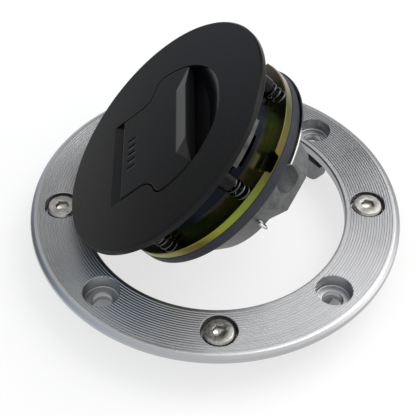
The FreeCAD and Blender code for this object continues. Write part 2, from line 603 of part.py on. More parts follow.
# Hinge arm: two goosenecks on one pad.
arm = [slab("arm_inner + arm_thick - arm_pad_end", "2 * knuckle_to", "lid_thick", "lid_thick + arm_pad_thick",
            "-arm_inner - arm_thick")]
low_z = "hinge_z - arm_drop"
for side in SIDES:
    middle = side + "(knuckle_from + knuckle_to) / 2"
    wide = "knuckle_to - knuckle_from"
    first = side + "(knuckle_from + knuckle_to) / 2 - (knuckle_to - knuckle_from) / 2"
    last = side + "(knuckle_from + knuckle_to) / 2 + (knuckle_to - knuckle_from) / 2"
    arm.append(cross_rod("knuckle_radius", first, last, "-hinge_x", "hinge_z"))
    leg = block("sqrt(arm_drop ^ 2 + arm_lean ^ 2)", wide, "arm_thick", "0", middle)
    leg.Placement.Rotation = FreeCAD.Rotation(Y_AXIS, 1)
    bind(leg, "Placement.Rotation.Angle", "atan(arm_drop / arm_lean)")
    bind(leg, "Placement.Base.x", "-hinge_x - arm_thick / 2 * arm_drop / sqrt(arm_drop ^ 2 + arm_lean ^ 2)")
    bind(leg, "Placement.Base.z", "hinge_z - arm_thick / 2 * arm_lean / sqrt(arm_drop ^ 2 + arm_lean ^ 2)")
    arm.append(leg)
    arm.append(cross_rod("arm_thick / 2", first, last, "arm_lean - hinge_x", low_z))
    arm.append(block("hinge_x - arm_lean - arm_inner", wide, "arm_thick", "arm_lean - hinge_x", middle,
                     low_z + " - arm_thick / 2"))
    arm.append(block("arm_thick", wide, "ring_height - lid_thick - (%s) + arm_thick / 2" % low_z,
                     "-arm_inner - arm_thick", middle, low_z + " - arm_thick / 2"))
arm_holes = [cross_rod("pin_radius + hole_gap", "-pin_to", "pin_to", "-hinge_x", "hinge_z")]
for side in SIDES:
    arm_holes.append(screw_hole("0", "lid_thick + 5", "-arm_screw_x", side + "arm_screw_y"))
node("hinge_arm", less(union(arm), arm_holes))


def small_screw(seat, tip, x, y, azimuth=None):
    """A pan-head screw driven upwards: the head below the seat depth, the tip above it."""
    head = disc("small_head", seat, "(%s) + small_head_tall" % seat, x, y, azimuth)
    shank = disc("body_screw", tip, "(%s) + screw_root" % seat, x, y, azimuth)
    recess = doc.addObject("Part::Prism", "Drive")
    recess.Polygon = 6
    bind(recess, "Circumradius", "body_screw")
    bind(recess, "Height", "1")
    place(recess, x, y, "ring_height - (%s) - small_head_tall" % seat, azimuth)
    return less(union([head, shank]), [recess])


node("arm_screws", group([
    small_screw("lid_thick + arm_pad_thick", "lid_thick - cover_screw_in", "-arm_screw_x",
                side + "arm_screw_y") for side in SIDES]))

# Latch body: guides the bolts, holds the lock cylinder, roofs the cam.
LONG_SCREWS = ("long_screw_angle", "long_screw_angle + 180")
body_holes = [
    disc("barrel_radius + hole_gap", "bowl_depth - 1", "cavity_top + 1"),
    disc("cavity_radius", "cavity_top", "body_end + 1")]
for side in SIDES:
    body_holes.append(slab("body_radius", "2 * bar_half + 2 * bar_gap", "bowl_depth - 1", "cavity_top",
                           "bar_start - bar_gap", "0", side + "bolt_angle"))
for x, y in (("-lid_screw_x", "lid_screw_y"), ("-lid_screw_x", "-lid_screw_y"), ("-lid_screw_far", "0")):
    body_holes.append(screw_hole("bowl_depth - 1", "body_end + 1", x, y))
    body_holes.append(disc("small_head + hole_gap", "body_end - body_screw_deep", "body_end + 1", x, y))
for q in LONG_SCREWS:
    body_holes.append(screw_hole("long_screw_tip - screw_bottom", "body_end + 1", "long_screw_at", azimuth=q))
node("latch_body", less(disc("body_radius", "bowl_depth", "body_end"), body_holes))
node("body_screws", group([
    small_screw("body_end - body_screw_deep", "bowl_depth - body_screw_in", "-lid_screw_x", "lid_screw_y"),
    small_screw("body_end - body_screw_deep", "bowl_depth - body_screw_in", "-lid_screw_x", "-lid_screw_y"),
    small_screw("body_end - body_screw_deep", "bowl_depth - far_screw_in", "-lid_screw_far", "0")]))
node("latch_cover", less(disc("cavity_radius - hole_gap", "cover_plate_top", "cover_plate_end"),
                         [disc("vent_hole", "0", "body_end")]))

# Lock: collar, cylinder with its keyway, cam with two spiral slots, clip.
node("lock_collar", less(disc("collar_radius", "collar_top", "pocket_depth"),
                         [disc("collar_bore", "0", "bowl_depth")]))
barrel = union([
    disc("barrel_radius", "barrel_top", "barrel_end"),
    slab("barrel_square", "barrel_square", "barrel_end - 0.5", "cam_top + cam_thick", "-barrel_square / 2"),
    disc("barrel_stub", "cam_top", "barrel_tip")])
node("lock_cylinder", less(barrel, [
    slab("key_long", "key_wide", "barrel_top - 1", "barrel_top + key_deep", "-key_long / 2")]))


def spiral_slot(start):
    """A slot whose radius grows evenly with the angle over a quarter turn, round at both ends."""
    half = size("bolt_pin") + size("slot_gap")
    inner, rise = size("bolt_pin_at"), size("bolt_travel")
    count = 16
    low_side, high_side = [], []
    for i in range(count + 1):
        angle = math.radians(start - 90.0 * i / count)
        radius = inner + rise * i / count
        slope = math.atan2(rise / (math.pi / 2), radius)
        centre = FreeCAD.Vector(radius * math.cos(angle), radius * math.sin(angle), 0)
        out = FreeCAD.Vector(math.cos(angle + slope), math.sin(angle + slope), 0)
        low_side.append(centre - out * half)
        high_side.append(centre + out * half)
    edges = []
    for side in (low_side, high_side):
        curve = Part.BSplineCurve()
        curve.interpolate(side)
        edges.append(curve.toShape())
    edges.append(Part.LineSegment(low_side[0], high_side[0]).toShape())
    edges.append(Part.LineSegment(low_side[-1], high_side[-1]).toShape())
    face = Part.Face(Part.Wire(Part.sortEdges(edges)[0]))
    prism = face.extrude(FreeCAD.Vector(0, 0, size("cam_thick") + 2))
    for i in (0, count):
        angle = math.radians(start - 90.0 * i / count)
        radius = inner + rise * i / count
        centre = FreeCAD.Vector(radius * math.cos(angle), radius * math.sin(angle), 0)
        prism = prism.fuse(Part.makeCylinder(half, size("cam_thick") + 2, centre))
    prism.translate(FreeCAD.Vector(0, 0, size("ring_height") - size("cam_top") - size("cam_thick") - 1))
    return prism


node("lock_cam", less(disc("cam_radius", "cam_top", "cam_top + cam_thick"), [
    slab("barrel_square + 2 * hole_gap", "barrel_square + 2 * hole_gap", "0", "body_end",
         "-barrel_square / 2 - hole_gap"),
    feature(spiral_slot(size("bolt_angle"))), feature(spiral_slot(-size("bolt_angle")))]))
node("cam_clip", less(disc("clip_radius", "cam_top + cam_thick", "cam_top + cam_thick + clip_thick"),
                      [disc("barrel_stub + hole_gap", "0", "body_end")]))

# Latch bolts: a wide blade under the lid, a bar in the latch body and a pin in the cam's slot.
for side, name in (("", "latch_bolt_left"), ("-", "latch_bolt_right")):
    turn = side + "bolt_angle"
    blade = common(disc("blade_radius", "blade_top", "blade_end"),
                   slab("blade_radius", "2 * blade_half", "blade_top - 1", "blade_end + 1", "blade_start",
                        azimuth=turn))
    step = slab("step_long", "2 * bar_half", "blade_top", "bar_end", "blade_start", azimuth=turn)
    bar = slab("blade_start + step_long - bar_start", "2 * bar_half", "bar_top", "bar_end", "bar_start",
               azimuth=turn)
    peg = disc("bolt_pin", "bar_end - bolt_pin_root", "cam_top + cam_thick - bolt_pin_free", "bolt_pin_at",
               azimuth=turn)
    node(name, union([blade, step, bar, peg]))

# Seal stack: it floats on the base casting's neck and the lift springs push it away from the lid.
drum_tools = [disc("drum_bore", "0", "plate_top + 1", "stack_shift")]
for azimuth in spring_places():
    x, y = on_stack("spring_at", azimuth)
    drum_tools.append(disc("scallop_radius", "drum_top - 1", "plate_top + 1", x, y))
for side in SIDES:
    drum_tools.append(slab("drum_radius / 2", "2 * drum_slot_half", "drum_top - 1", "drum_slot_end",
                           "blade_start", azimuth=side + "bolt_angle"))
node("inner_drum", less(disc("drum_radius", "drum_top", "plate_top", "stack_shift"), drum_tools))
plate_tools = [disc("plate_bore", "0", "plate_end + 1", "stack_shift")]
for side in SIDES:
    x, y = on_stack("notch_in", side + "notch_angle")
    notch = block("plate_radius - notch_in + 1", "2 * notch_half", "notch_deep + 1")
    notch.Placement.Rotation = FreeCAD.Rotation(Z_AXIS, 0)
    turn = side + "notch_angle"
    bind(notch, "Placement.Rotation.Angle", turn)
    bind(notch, "Placement.Base.x", x + " + notch_half * sin((%s) * 1deg)" % turn)
    bind(notch, "Placement.Base.y", y + " - notch_half * cos((%s) * 1deg)" % turn)
    bind(notch, "Placement.Base.z", "ring_height - plate_top - notch_deep")
    plate_tools.append(notch)
node("seal_plate", less(disc("plate_radius", "plate_top", "plate_end", "stack_shift"), plate_tools))
node("main_seal", less(disc("seal_radius", "plate_end", "seal_end", "stack_shift"),
                       [disc("seal_bore", "0", "seal_end + 1", "stack_shift")]))
wide_part = disc("retainer_radius", "seal_end", "stop_top", azimuth="-retainer_start")
bind(wide_part, "Angle", "retainer_span")
node("seal_retainer", less(union([disc("retainer_narrow", "seal_end", "stop_top", "stack_shift"),
                                  place(group([wide_part]), "stack_shift")]),
                           [disc("retainer_bore", "0", "stop_top + 1", "stack_shift")]))


def coil(x, y, top, end, mean, wire, turns):
    """A round-wire spring between two depths."""
    rise = end - top - 2 * wire
    helix = Part.makeHelix(rise / turns, rise, mean)
    section = Part.Wire(Part.makeCircle(wire, FreeCAD.Vector(mean, 0, 0), FreeCAD.Vector(0, 1, 0)))
    spring = Part.Wire(helix).makePipeShell([section], True, True)
    spring.translate(FreeCAD.Vector(x, y, size("ring_height") - end + wire))
    return spring


coils = []
for angle in (0.0, size("spring_step"), -size("spring_step"), size("spring_far"), -size("spring_far")):
    x = size("spring_at") * math.cos(math.radians(angle)) + size("stack_shift")
    y = size("spring_at") * math.sin(math.radians(angle))
    coils.append(feature(coil(x, y, size("post_end"), size("plate_top"), size("spring_coil"),
                              size("spring_wire"), size("spring_turns"))))
node("lift_springs", group(coils))


def leaning_cut(azimuth, reach, lean):
    """A big block beyond a flat that passes the casting's end at a distance from the axis and leans
    outwards going up."""
    cut = block("base_end", "2 * base_top_radius", "2 * base_end", reach, "0", "ring_height - base_end")
    cut.Placement.Rotation = FreeCAD.Rotation(Y_AXIS, 1)
    bind(cut, "Placement.Rotation.Angle", lean)
    return place(group([cut]), azimuth=azimuth)


# Base casting: neck through the stack, flange under it, tapered housing with a lobe on the latch
# side. Flats and a round recess shape the lobe.
lobe_cone = cone("lobe_low_radius", "base_top_radius", "base_end - stop_end", z="ring_height - base_end")
lobe = less(lobe_cone, [
    leaning_cut("-lobe_side_angle", "lobe_side_reach", "lobe_side_lean"),
    leaning_cut("lobe_side_angle", "lobe_side_reach", "lobe_side_lean"),
    leaning_cut("-facet_right_angle", "facet_right_reach", "facet_lean"),
    leaning_cut("facet_left_angle", "facet_left_reach", "facet_lean"),
    slab("2 * base_top_radius", "3 * base_top_radius", "0", "base_end + 1", "-2 * base_top_radius")])
casting = [
    disc("cavity_radius - 2 * hole_gap", "cover_plate_end", "body_end + 1"),
    disc("neck_radius", "body_end", "stop_top + 1"),
    disc("flange_radius", "stop_top", "stop_end", "stack_shift"),
    cone("base_low_radius", "base_top_radius", "base_end - stop_end", z="ring_height - base_end"),
    lobe,
    disc("screw_post", "stop_end", "screw_post_end", "long_screw_at", "0", LONG_SCREWS[1])]
casting_tools = [disc("hollow_radius", "hollow_top", "base_end + 1")]
for q in LONG_SCREWS:
    casting_tools.append(screw_hole("body_end - 1", "base_end + 1", "long_screw_at", azimuth=q))
    casting_tools.append(disc("small_head + hole_gap", "long_screw_head", "base_end + 1", "long_screw_at",
                              azimuth=q))
dent = doc.addObject("Part::Sphere", "Dent")
bind(dent, "Radius", "dent_ball")
casting_tools.append(place(dent, "dent_from", "0", "ring_height - dent_at", "-dent_angle"))
node("base_casting", less(union(casting), casting_tools))
node("base_screws", group([small_screw("long_screw_head", "long_screw_tip", "long_screw_at", "0", q)
                           for q in LONG_SCREWS]))
node("bottom_cover", less(disc("hollow_radius - hole_gap", "end_top", "base_end"),
                          [disc("vent_hole", "0", "base_end + 1")]))
node("vent_body", less(disc("vent_radius", "vent_top", "end_top"),
                       [disc("vent_bore", "vent_top + vent_wall", "end_top + 1"),
                        disc("vent_hole", "0", "vent_top + vent_wall + 1")]))
ball = doc.addObject("Part::Sphere", "Ball")
bind(ball, "Radius", "ball_radius")
place(ball, z="ring_height - vent_top - vent_wall - ball_radius")
node("vent_ball", group([ball]))
ball_end = size("vent_top") + size("vent_wall") + 2 * size("ball_radius")
node("vent_spring", group([feature(coil(
    0, 0, ball_end, size("base_end") - size("end_cover_thick"),
    size("vent_coil"), size("vent_wire"), size("vent_turns")))]))
eye = doc.addObject("Part::Torus", "Eye")
bind(eye, "Radius1", "eye_radius")
bind(eye, "Radius2", "eye_wire")
eye.Placement = FreeCAD.Placement(FreeCAD.Vector(), FreeCAD.Rotation(X_AXIS, 90))
at_eye = "(base_top_radius - base_low_radius) * eye_up / (base_end - stop_end)"
bind(eye, "Placement.Base.x", "base_low_radius + " + at_eye + " + eye_out")
bind(eye, "Placement.Base.z", "ring_height - base_end + eye_up")
node("tether_eye", group([place(group([eye]), azimuth="-eye_angle")]))

doc.recompute()
for thing in doc.Objects:
    if "Invalid" in thing.State or "Error" in thing.State:
        raise RuntimeError("%s did not build: %s" % (thing.Label, thing.State))
os.makedirs("parts", exist_ok=True)
for thing in NODES:
    shape = thing.Shape
    if shape.isNull() or not shape.isValid():
        raise RuntimeError("%s has no valid shape" % thing.Label)
    shape.exportStep("parts/%s.step" % thing.Label)
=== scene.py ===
import json
import math

import bmesh
import bpy
import numpy as np
from mathutils import Matrix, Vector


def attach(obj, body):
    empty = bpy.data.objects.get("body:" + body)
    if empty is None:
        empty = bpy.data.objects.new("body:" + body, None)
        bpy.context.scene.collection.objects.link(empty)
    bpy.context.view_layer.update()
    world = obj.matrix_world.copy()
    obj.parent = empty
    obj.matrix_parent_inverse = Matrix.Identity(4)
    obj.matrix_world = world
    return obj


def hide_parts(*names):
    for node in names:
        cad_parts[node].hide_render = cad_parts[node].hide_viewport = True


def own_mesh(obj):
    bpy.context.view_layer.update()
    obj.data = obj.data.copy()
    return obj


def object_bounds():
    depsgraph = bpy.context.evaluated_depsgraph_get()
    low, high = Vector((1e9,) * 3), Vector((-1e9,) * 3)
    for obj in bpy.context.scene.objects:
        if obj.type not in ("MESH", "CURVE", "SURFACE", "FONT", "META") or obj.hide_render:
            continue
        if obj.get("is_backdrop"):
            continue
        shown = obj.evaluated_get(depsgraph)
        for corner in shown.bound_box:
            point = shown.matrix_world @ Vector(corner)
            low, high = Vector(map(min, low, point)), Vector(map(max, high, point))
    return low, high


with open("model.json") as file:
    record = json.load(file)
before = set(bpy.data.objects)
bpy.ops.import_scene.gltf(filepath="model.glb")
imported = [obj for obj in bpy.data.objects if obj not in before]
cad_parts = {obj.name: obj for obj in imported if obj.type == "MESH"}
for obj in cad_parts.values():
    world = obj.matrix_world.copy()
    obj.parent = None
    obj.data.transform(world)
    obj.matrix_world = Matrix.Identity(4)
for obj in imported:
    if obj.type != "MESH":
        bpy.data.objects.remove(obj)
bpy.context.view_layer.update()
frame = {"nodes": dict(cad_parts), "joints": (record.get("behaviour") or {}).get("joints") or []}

MM = 0.001

# Driving sizes, in millimetres. Depths are measured down from the lid's top face.
RING_TOP = 8.0
RING_RADIUS = 57.8
BORE = 40.6
RIM_THICK = 2.4
WALL_THICK = 3.2
WALL_REACH = 54.4
BOLT_CIRCLE = 48.0
SEAT_RADIUS = 5.4
SEAT_DEPTH = 2.9
CBORE_DEPTH = 4.7
MOUNT_HOLE = 3.0
SCREW_HOLE = 2.55
SCREW_BOSS = 6.9
MOUNT_BOSS = 6.2
GROOVE_FROM = 41.9
GROOVE_TO = 55.5
GROOVES = 17
GROOVE_DEEP = 0.22
BOSS_TOP = 7.0
KNUCKLE_AT = 8.45
KNUCKLE_HALF = 2.25
EAR_AT = 9.2
EAR_HALF = 5.3
LID_RADIUS = 39.0
LID_EDGE = 2.0
LID_THICK = 2.8
LID_BOSS = 24.4
LID_BOSS_END = 5.6
POCKET_DEPTH = 4.2
KEYHOLE = 6.7
RELIEF_HALF = 16.6
COVER_HEAD = 23.2
COVER_HALF = 16.1
COVER_LEFT = -16.0
COVER_RIGHT = 12.0
COVER_GAP = 0.25
COVER_THICK = 2.0
NECK_AT = -8.0
NECK_CURVE = 6.0
KNEE_CURVE = 4.0
STACK_SHIFT = 2.4
SPRING_AT = 31.1
SPRING_ANGLES = (0.0, 59.0, -59.0, 111.0, -111.0)
POST_RADIUS = 2.7
POST_END = 8.6
SPIGOT_RADIUS = 1.5
SPIGOT_END = 10.0
SCALLOP_RADIUS = 2.9
BOLT_ANGLE = 36.5
NOTCH_ANGLE = 39.2
DRUM_TOP = 7.4
DRUM_RADIUS = 29.3
DRUM_BORE = 27.2
PLATE_TOP = 14.3
PLATE_END = 16.9
PLATE_RADIUS = 33.4
PLATE_BORE = 25.5
SEAL_END = 20.4
SEAL_RADIUS = 33.5
SEAL_BORE = 26.0
RETAINER_END = 20.9
RETAINER_RADIUS = 34.1
RETAINER_NARROW = 31.4
RETAINER_BORE = 26.6
DENT_AT = 31.3
DENT_ANGLE = -32.5
DENT_DEPTH = 29.8
DENT_RADIUS = 6.6

# The closed cap's own axes: P from the hinge to the latch, Q along the hinge, N out of the lid.
joints = {joint["name"]: joint for joint in frame["joints"]}
Q = np.array([0.0, 1.0, 0.0])
N = np.array(joints["lock_turn"]["axis"], dtype=float)
P = np.cross(Q, N)
LID_CENTRE = np.array(joints["lock_turn"]["pos_m"], dtype=float) + N * 5.0 * MM
STACK_CENTRE = LID_CENTRE + STACK_SHIFT * MM * P


def on_ring(points):
    """Millimetres in the ring's frame become metres in the row's frame."""
    return points * MM


def on_cap(points):
    """Lid-frame millimetres, with z as minus the depth, become metres in the row's frame."""
    return LID_CENTRE + MM * (points[..., :1] * P + points[..., 1:2] * Q + points[..., 2:] * N)


def shell(name, grid, place, around=True, loop=False, poles=False):
    """Quads over a grid of points. around closes the first direction and loop the second; poles
    merges the points that meet on the axis."""
    rows, columns = grid.shape[:2]
    points = place(grid.reshape(-1, 3))
    first = np.arange(rows if around else rows - 1)[:, None]
    second = np.arange(columns if loop else columns - 1)[None, :]
    after, beside = (first + 1) % rows, (second + 1) % columns
    quads = np.stack([first * columns + second, after * columns + second,
                      after * columns + beside, first * columns + beside], axis=-1).reshape(-1, 4)
    mesh = bpy.data.meshes.new(name)
    mesh.vertices.add(len(points))
    mesh.vertices.foreach_set("co", points.astype(np.float32).ravel())
    mesh.loops.add(quads.size)
    mesh.loops.foreach_set("vertex_index", quads.astype(np.int32).ravel())
    mesh.polygons.add(len(quads))
    mesh.polygons.foreach_set("loop_start", np.arange(0, quads.size, 4, dtype=np.int32))
    mesh.update(calc_edges=True)
    mesh.validate()
    piece = bpy.data.objects.new(name, mesh)
    bpy.context.scene.collection.objects.link(piece)
    tidy(piece, poles)
    return piece


def tidy(piece, merge=True):
    """Merges doubles and points the faces outwards."""
    work = bmesh.new()
    work.from_mesh(piece.data)
    if merge:
        bmesh.ops.remove_doubles(work, verts=work.verts, dist=2e-7)
        bmesh.ops.dissolve_degenerate(work, edges=work.edges, dist=1e-8)
    bmesh.ops.recalc_face_normals(work, faces=work.faces)
    work.to_mesh(piece.data)
    work.free()


def soften(points, radii, steps=6):
    """A profile with its corners rounded: a corner gives way to an arc that is tangent to both of
    its runs, with the tangent length radius / tan(half the corner's angle)."""
    points = np.asarray(points, dtype=float)
    out = [points[:1]]
    for before, corner, after, radius in zip(points[:-2], points[1:-1], points[2:], radii):
        if radius <= 0:
            out.append(corner[None])
            continue
        a, b = before - corner, after - corner
        la, lb = np.linalg.norm(a), np.linalg.norm(b)
        a, b = a / la, b / lb
        half = math.acos(np.clip(a @ b, -1, 1)) / 2
        reach = min(radius / math.tan(half), 0.49 * la, 0.49 * lb)
        radius = reach * math.tan(half)
        middle = corner + (a + b) / np.linalg.norm(a + b) * radius / math.sin(half)
        start, end = corner + a * reach - middle, corner + b * reach - middle
        span = math.atan2(start[0] * end[1] - start[1] * end[0], start @ end)
        turn = np.linspace(0, span, steps)[:, None]
        side = np.array([-start[1], start[0]])
        out.append(middle + start * np.cos(turn) + side * np.sin(turn))
    out.append(points[-1:])
    return np.concatenate(out)


def turn_profile(profile, turns, radius_of=None):
    """A profile of (r, z) carried round the axis: x = r cos a, y = r sin a."""
    angle = np.linspace(0, 2 * math.pi, turns, endpoint=False)[:, None]
    r, z = profile[None, :, 0], profile[None, :, 1] + 0 * angle
    r = r + 0 * angle if radius_of is None else radius_of(angle, r, z)
    return np.stack([r * np.cos(angle), r * np.sin(angle), z], axis=-1)


def lathe(name, corners, radii, place, turns=192, hollow=False, at=(0, 0), radius_of=None, steps=6):
    """A turned piece. A hollow one has a closed profile; a solid one starts and ends on the axis."""
    corners = np.asarray(corners, dtype=float)
    if hollow:
        closed = np.concatenate([corners[-1:], corners, corners[:1]])
        profile = soften(closed, radii, steps)[1:-1]
    else:
        profile = soften(corners, radii, steps)
    grid = turn_profile(profile, turns, radius_of)
    grid[..., 0] += at[0]
    grid[..., 1] += at[1]
    return shell(name, grid, place, loop=hollow, poles=True)


def box(name, low, high, place, azimuth=0.0):
    """A block between two corners, turned about the axis by an azimuth in degrees."""
    work = bmesh.new()
    bmesh.ops.create_cube(work, size=1.0)
    piece_mesh = bpy.data.meshes.new(name)
    low, high = np.array(low, dtype=float), np.array(high, dtype=float)
    work.to_mesh(piece_mesh)
    work.free()
    count = len(piece_mesh.vertices)
    points = np.empty(count * 3, dtype=np.float32)
    piece_mesh.vertices.foreach_get("co", points)
    points = (points.reshape(-1, 3) + 0.5) * (high - low) + low
    a = math.radians(azimuth)
    spin = np.array([[math.cos(a), -math.sin(a), 0], [math.sin(a), math.cos(a), 0], [0, 0, 1]])
    points = place(points @ spin.T)
    piece_mesh.vertices.foreach_set("co", points.astype(np.float32).ravel())
    piece = bpy.data.objects.new(name, piece_mesh)
    bpy.context.scene.collection.objects.link(piece)
    tidy(piece)
    return piece


def joined(pieces):
    """One object with the meshes of several."""
    work = bmesh.new()
    for piece in pieces:
        work.from_mesh(piece.data)
    mesh = bpy.data.meshes.new(pieces[0].name)
    work.to_mesh(mesh)
    work.free()
    whole = bpy.data.objects.new(pieces[0].name, mesh)
    bpy.context.scene.collection.objects.link(whole)
    for piece in pieces:
        bpy.data.objects.remove(piece)
    return whole


def combine(piece, tools, operation):
    """A boolean of one piece with several tools that don't touch each other, worked out at once."""
    tool = joined(tools)
    cut = piece.modifiers.new("Cut", "BOOLEAN")
    cut.operation = operation
    cut.solver = "EXACT"
    cut.object = tool
    graph = bpy.context.evaluated_depsgraph_get()
    mesh = bpy.data.meshes.new_from_object(piece.evaluated_get(graph))
    piece.modifiers.remove(cut)
    piece.data = mesh
    bpy.data.objects.remove(tool)
    tidy(piece)


def finish(piece, name, body, slot, material, *nodes, crease=38.0, flat_faces=False):
    """Names a piece, shades it smooth with sharp creases and ties it to its body and nodes. With
    flat_faces the normals lean to the larger faces, so that flats stay flat beside rounded edges."""
    piece.name = name
    piece.data.name = name
    piece.data.polygons.foreach_set("use_smooth", np.ones(len(piece.data.polygons), dtype=bool))
    piece.data.set_sharp_from_angle(angle=math.radians(crease))
    piece.data.materials.clear()
    piece.data.materials.append(material)
    if flat_faces:
        shade = piece.modifiers.new("Shade", "WEIGHTED_NORMAL")
        shade.keep_sharp = True
        shade.weight = 100
    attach(piece, body)
    if nodes:
        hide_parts(*nodes)
    return piece


def rounded_copy(node, width, body, slot, material):
    """A copy of a CAD node's mesh with its doubles merged and its edges bevelled."""
    source = frame["nodes"][node]
    piece = bpy.data.objects.new(node + "_soft", source.data.copy())
    bpy.context.scene.collection.objects.link(piece)
    work = bmesh.new()
    work.from_mesh(piece.data)
    bmesh.ops.remove_doubles(work, verts=work.verts, dist=2e-6)
    bmesh.ops.dissolve_limit(work, angle_limit=math.radians(1.0), verts=work.verts, edges=work.edges)
    work.to_mesh(piece.data)
    work.free()
    finish(piece, node + "_soft", body, slot, material, node, crease=30.0)
    bevel = piece.modifiers.new("Edges", "BEVEL")
    bevel.width = width * MM
    bevel.segments = 3
    bevel.limit_method = "ANGLE"
    bevel.angle_limit = math.radians(30)
    bevel.harden_normals = True


class Signal:
    """A socket of a material, so that its maths can be written as an expression."""

    def __init__(self, look, socket):
        self.look = look
        self.socket = socket

    def maths(self, operation, other, swap=False):
        first, second = (other, self) if swap else (self, other)
        return self.look.node("ShaderNodeMath", {"operation": operation}, {0: first, 1: second})

    def __add__(self, other):
        return self.maths("ADD", other)

    def __radd__(self, other):
        return self.maths("ADD", other, swap=True)

    def __sub__(self, other):
        return self.maths("SUBTRACT", other)

    def __rsub__(self, other):
        return self.maths("SUBTRACT", other, swap=True)

    def __mul__(self, other):
        return self.maths("MULTIPLY", other)

    def __rmul__(self, other):
        return self.maths("MULTIPLY", other, swap=True)

    def __truediv__(self, other):
        return self.maths("DIVIDE", other)

    def __pow__(self, other):
        return self.maths("POWER", other)

    def clamp(self):
        return self.look.node("ShaderNodeMath", {"operation": "ADD", "use_clamp": True}, {0: self, 1: 0.0})

    def absolute(self):
        return self.look.node("ShaderNodeMath", {"operation": "ABSOLUTE"}, {0: self})


class Look:
    """A material under construction, or the studio's sky when a world is given."""

    def __init__(self, name, world=None, **constants):
        self.material = world or bpy.data.materials.new(name)
        self.material.use_nodes = True
        self.tree = self.material.node_tree
        self.shader = self.tree.nodes["Background" if world else "Principled BSDF"]
        for socket, value in constants.items():
            self.set(socket.replace("_", " "), value)
        self.coordinates = self.node("ShaderNodeTexCoord", {}, {}, "Generated" if world else "Object")

    def node(self, kind, settings, inputs, output=0):
        """Adds a node with its settings first and then its sockets' values or links."""
        made = self.tree.nodes.new(kind)
        for field, value in settings.items():
            if field == "stops":
                ramp = made.color_ramp
                while len(ramp.elements) > 1:
                    ramp.elements.remove(ramp.elements[0])
                ramp.elements[0].position, ramp.elements[0].color = value[0][0], (*value[0][1], 1)
                for place, colour in value[1:]:
                    ramp.elements.new(place).color = (*colour, 1)
            else:
                setattr(made, field, value)
        for socket, value in inputs.items():
            if isinstance(value, Signal):
                self.tree.links.new(value.socket, made.inputs[socket])
            else:
                made.inputs[socket].default_value = value
        return Signal(self, made.outputs[output])

    def set(self, socket, value):
        """Feeds one of the shader's sockets."""
        if isinstance(value, Signal):
            self.tree.links.new(value.socket, self.shader.inputs[socket])
        else:
            field = self.shader.inputs[socket]
            field.default_value = (*value, 1) if hasattr(value, "__len__") and len(value) == 3 else value

    def noise(self, scale, detail, roughness, vector=None):
        vector = self.coordinates if vector is None else vector
        return self.node("ShaderNodeTexNoise", {}, {"Vector": vector, "Scale": scale, "Detail": detail,
                                                    "Roughness": roughness}, "Fac")

    def ramp(self, value, stops):
        return self.node("ShaderNodeValToRGB", {"stops": stops}, {"Fac": value}, "Color")

    def blend(self, mask, first, second):
        inputs = {"Factor": mask, "A": (*first, 1) if isinstance(first, tuple) else first,
                  "B": (*second, 1) if isinstance(second, tuple) else second}
        made = self.tree.nodes.new("ShaderNodeMix")
        made.data_type = "RGBA"
        for field, socket in (("Factor", made.inputs[0]), ("A", made.inputs[6]), ("B", made.inputs[7])):
            value = inputs[field]
            if isinstance(value, Signal):
                self.tree.links.new(value.socket, socket)
            else:
                socket.default_value = value
        return Signal(self, made.outputs[2])

    def span(self, value, low, high, to_low=0.0, to_high=1.0):
        """Maps a value from one span to another, clamped."""
        return self.node("ShaderNodeMapRange", {"clamp": True}, {
            "Value": value, "From Min": low, "From Max": high, "To Min": to_low, "To Max": to_high})

    def along(self, axis, origin=(0.0, 0.0, 0.0)):
        """Distance along an axis from a point, in metres."""
        moved = self.node("ShaderNodeVectorMath", {"operation": "SUBTRACT"},
                          {0: self.coordinates, 1: tuple(float(v) for v in origin)}, "Vector")
        return self.node("ShaderNodeVectorMath", {"operation": "DOT_PRODUCT"},
                         {0: moved, 1: tuple(float(v) for v in axis)}, "Value")

    def radius(self, u, v, origin=(0.0, 0.0, 0.0)):
        """Distance from an axis, given two directions across it."""
        return (self.along(u, origin) ** 2.0 + self.along(v, origin) ** 2.0) ** 0.5

    def bump(self, height, distance, strength):
        """A bump from a height between 0 and 1, with its distance in metres."""
        inputs = {"Strength": strength, "Distance": distance, "Height": height}
        self.set("Normal", self.node("ShaderNodeBump", {}, inputs))

    def stack_azimuth(self):
        """Angle about the stack's axis, from P towards Q, in radians."""
        return self.along(Q, STACK_CENTRE).maths("ARCTAN2", self.along(P, STACK_CENTRE))


X_AXIS, Y_AXIS, Z_AXIS = (1.0, 0.0, 0.0), (0.0, 1.0, 0.0), (0.0, 0.0, 1.0)


def turned_alloy():
    """Satin aluminium with fine marks left by the lathe; the smooth borders are a little lighter."""
    look = Look("turned_alloy", Metallic=1.0)
    r = look.radius(X_AXIS, Y_AXIS)
    rings = look.node("ShaderNodeCombineXYZ", {}, {0: r * 9000.0, 1: look.along(Z_AXIS) * 500.0})
    marks = look.noise(1.0, 2.0, 0.6, rings)
    cloud = look.noise(60.0, 3.0, 0.5)
    metal = look.ramp(cloud * 0.6 + marks * 0.4, ((0.3, (0.34, 0.344, 0.355)), (0.7, (0.44, 0.444, 0.455))))
    border = look.span(r, (GROOVE_TO - 0.1) * MM, (GROOVE_TO + 0.3) * MM)
    look.set("Base Color", look.blend(border * 0.6, metal, (0.46, 0.463, 0.475)))
    look.set("Roughness", look.span(marks * 0.5 + cloud * 0.5, 0.3, 0.7, 0.30, 0.42))
    look.bump(marks, 0.00003, 0.5)
    return look.material


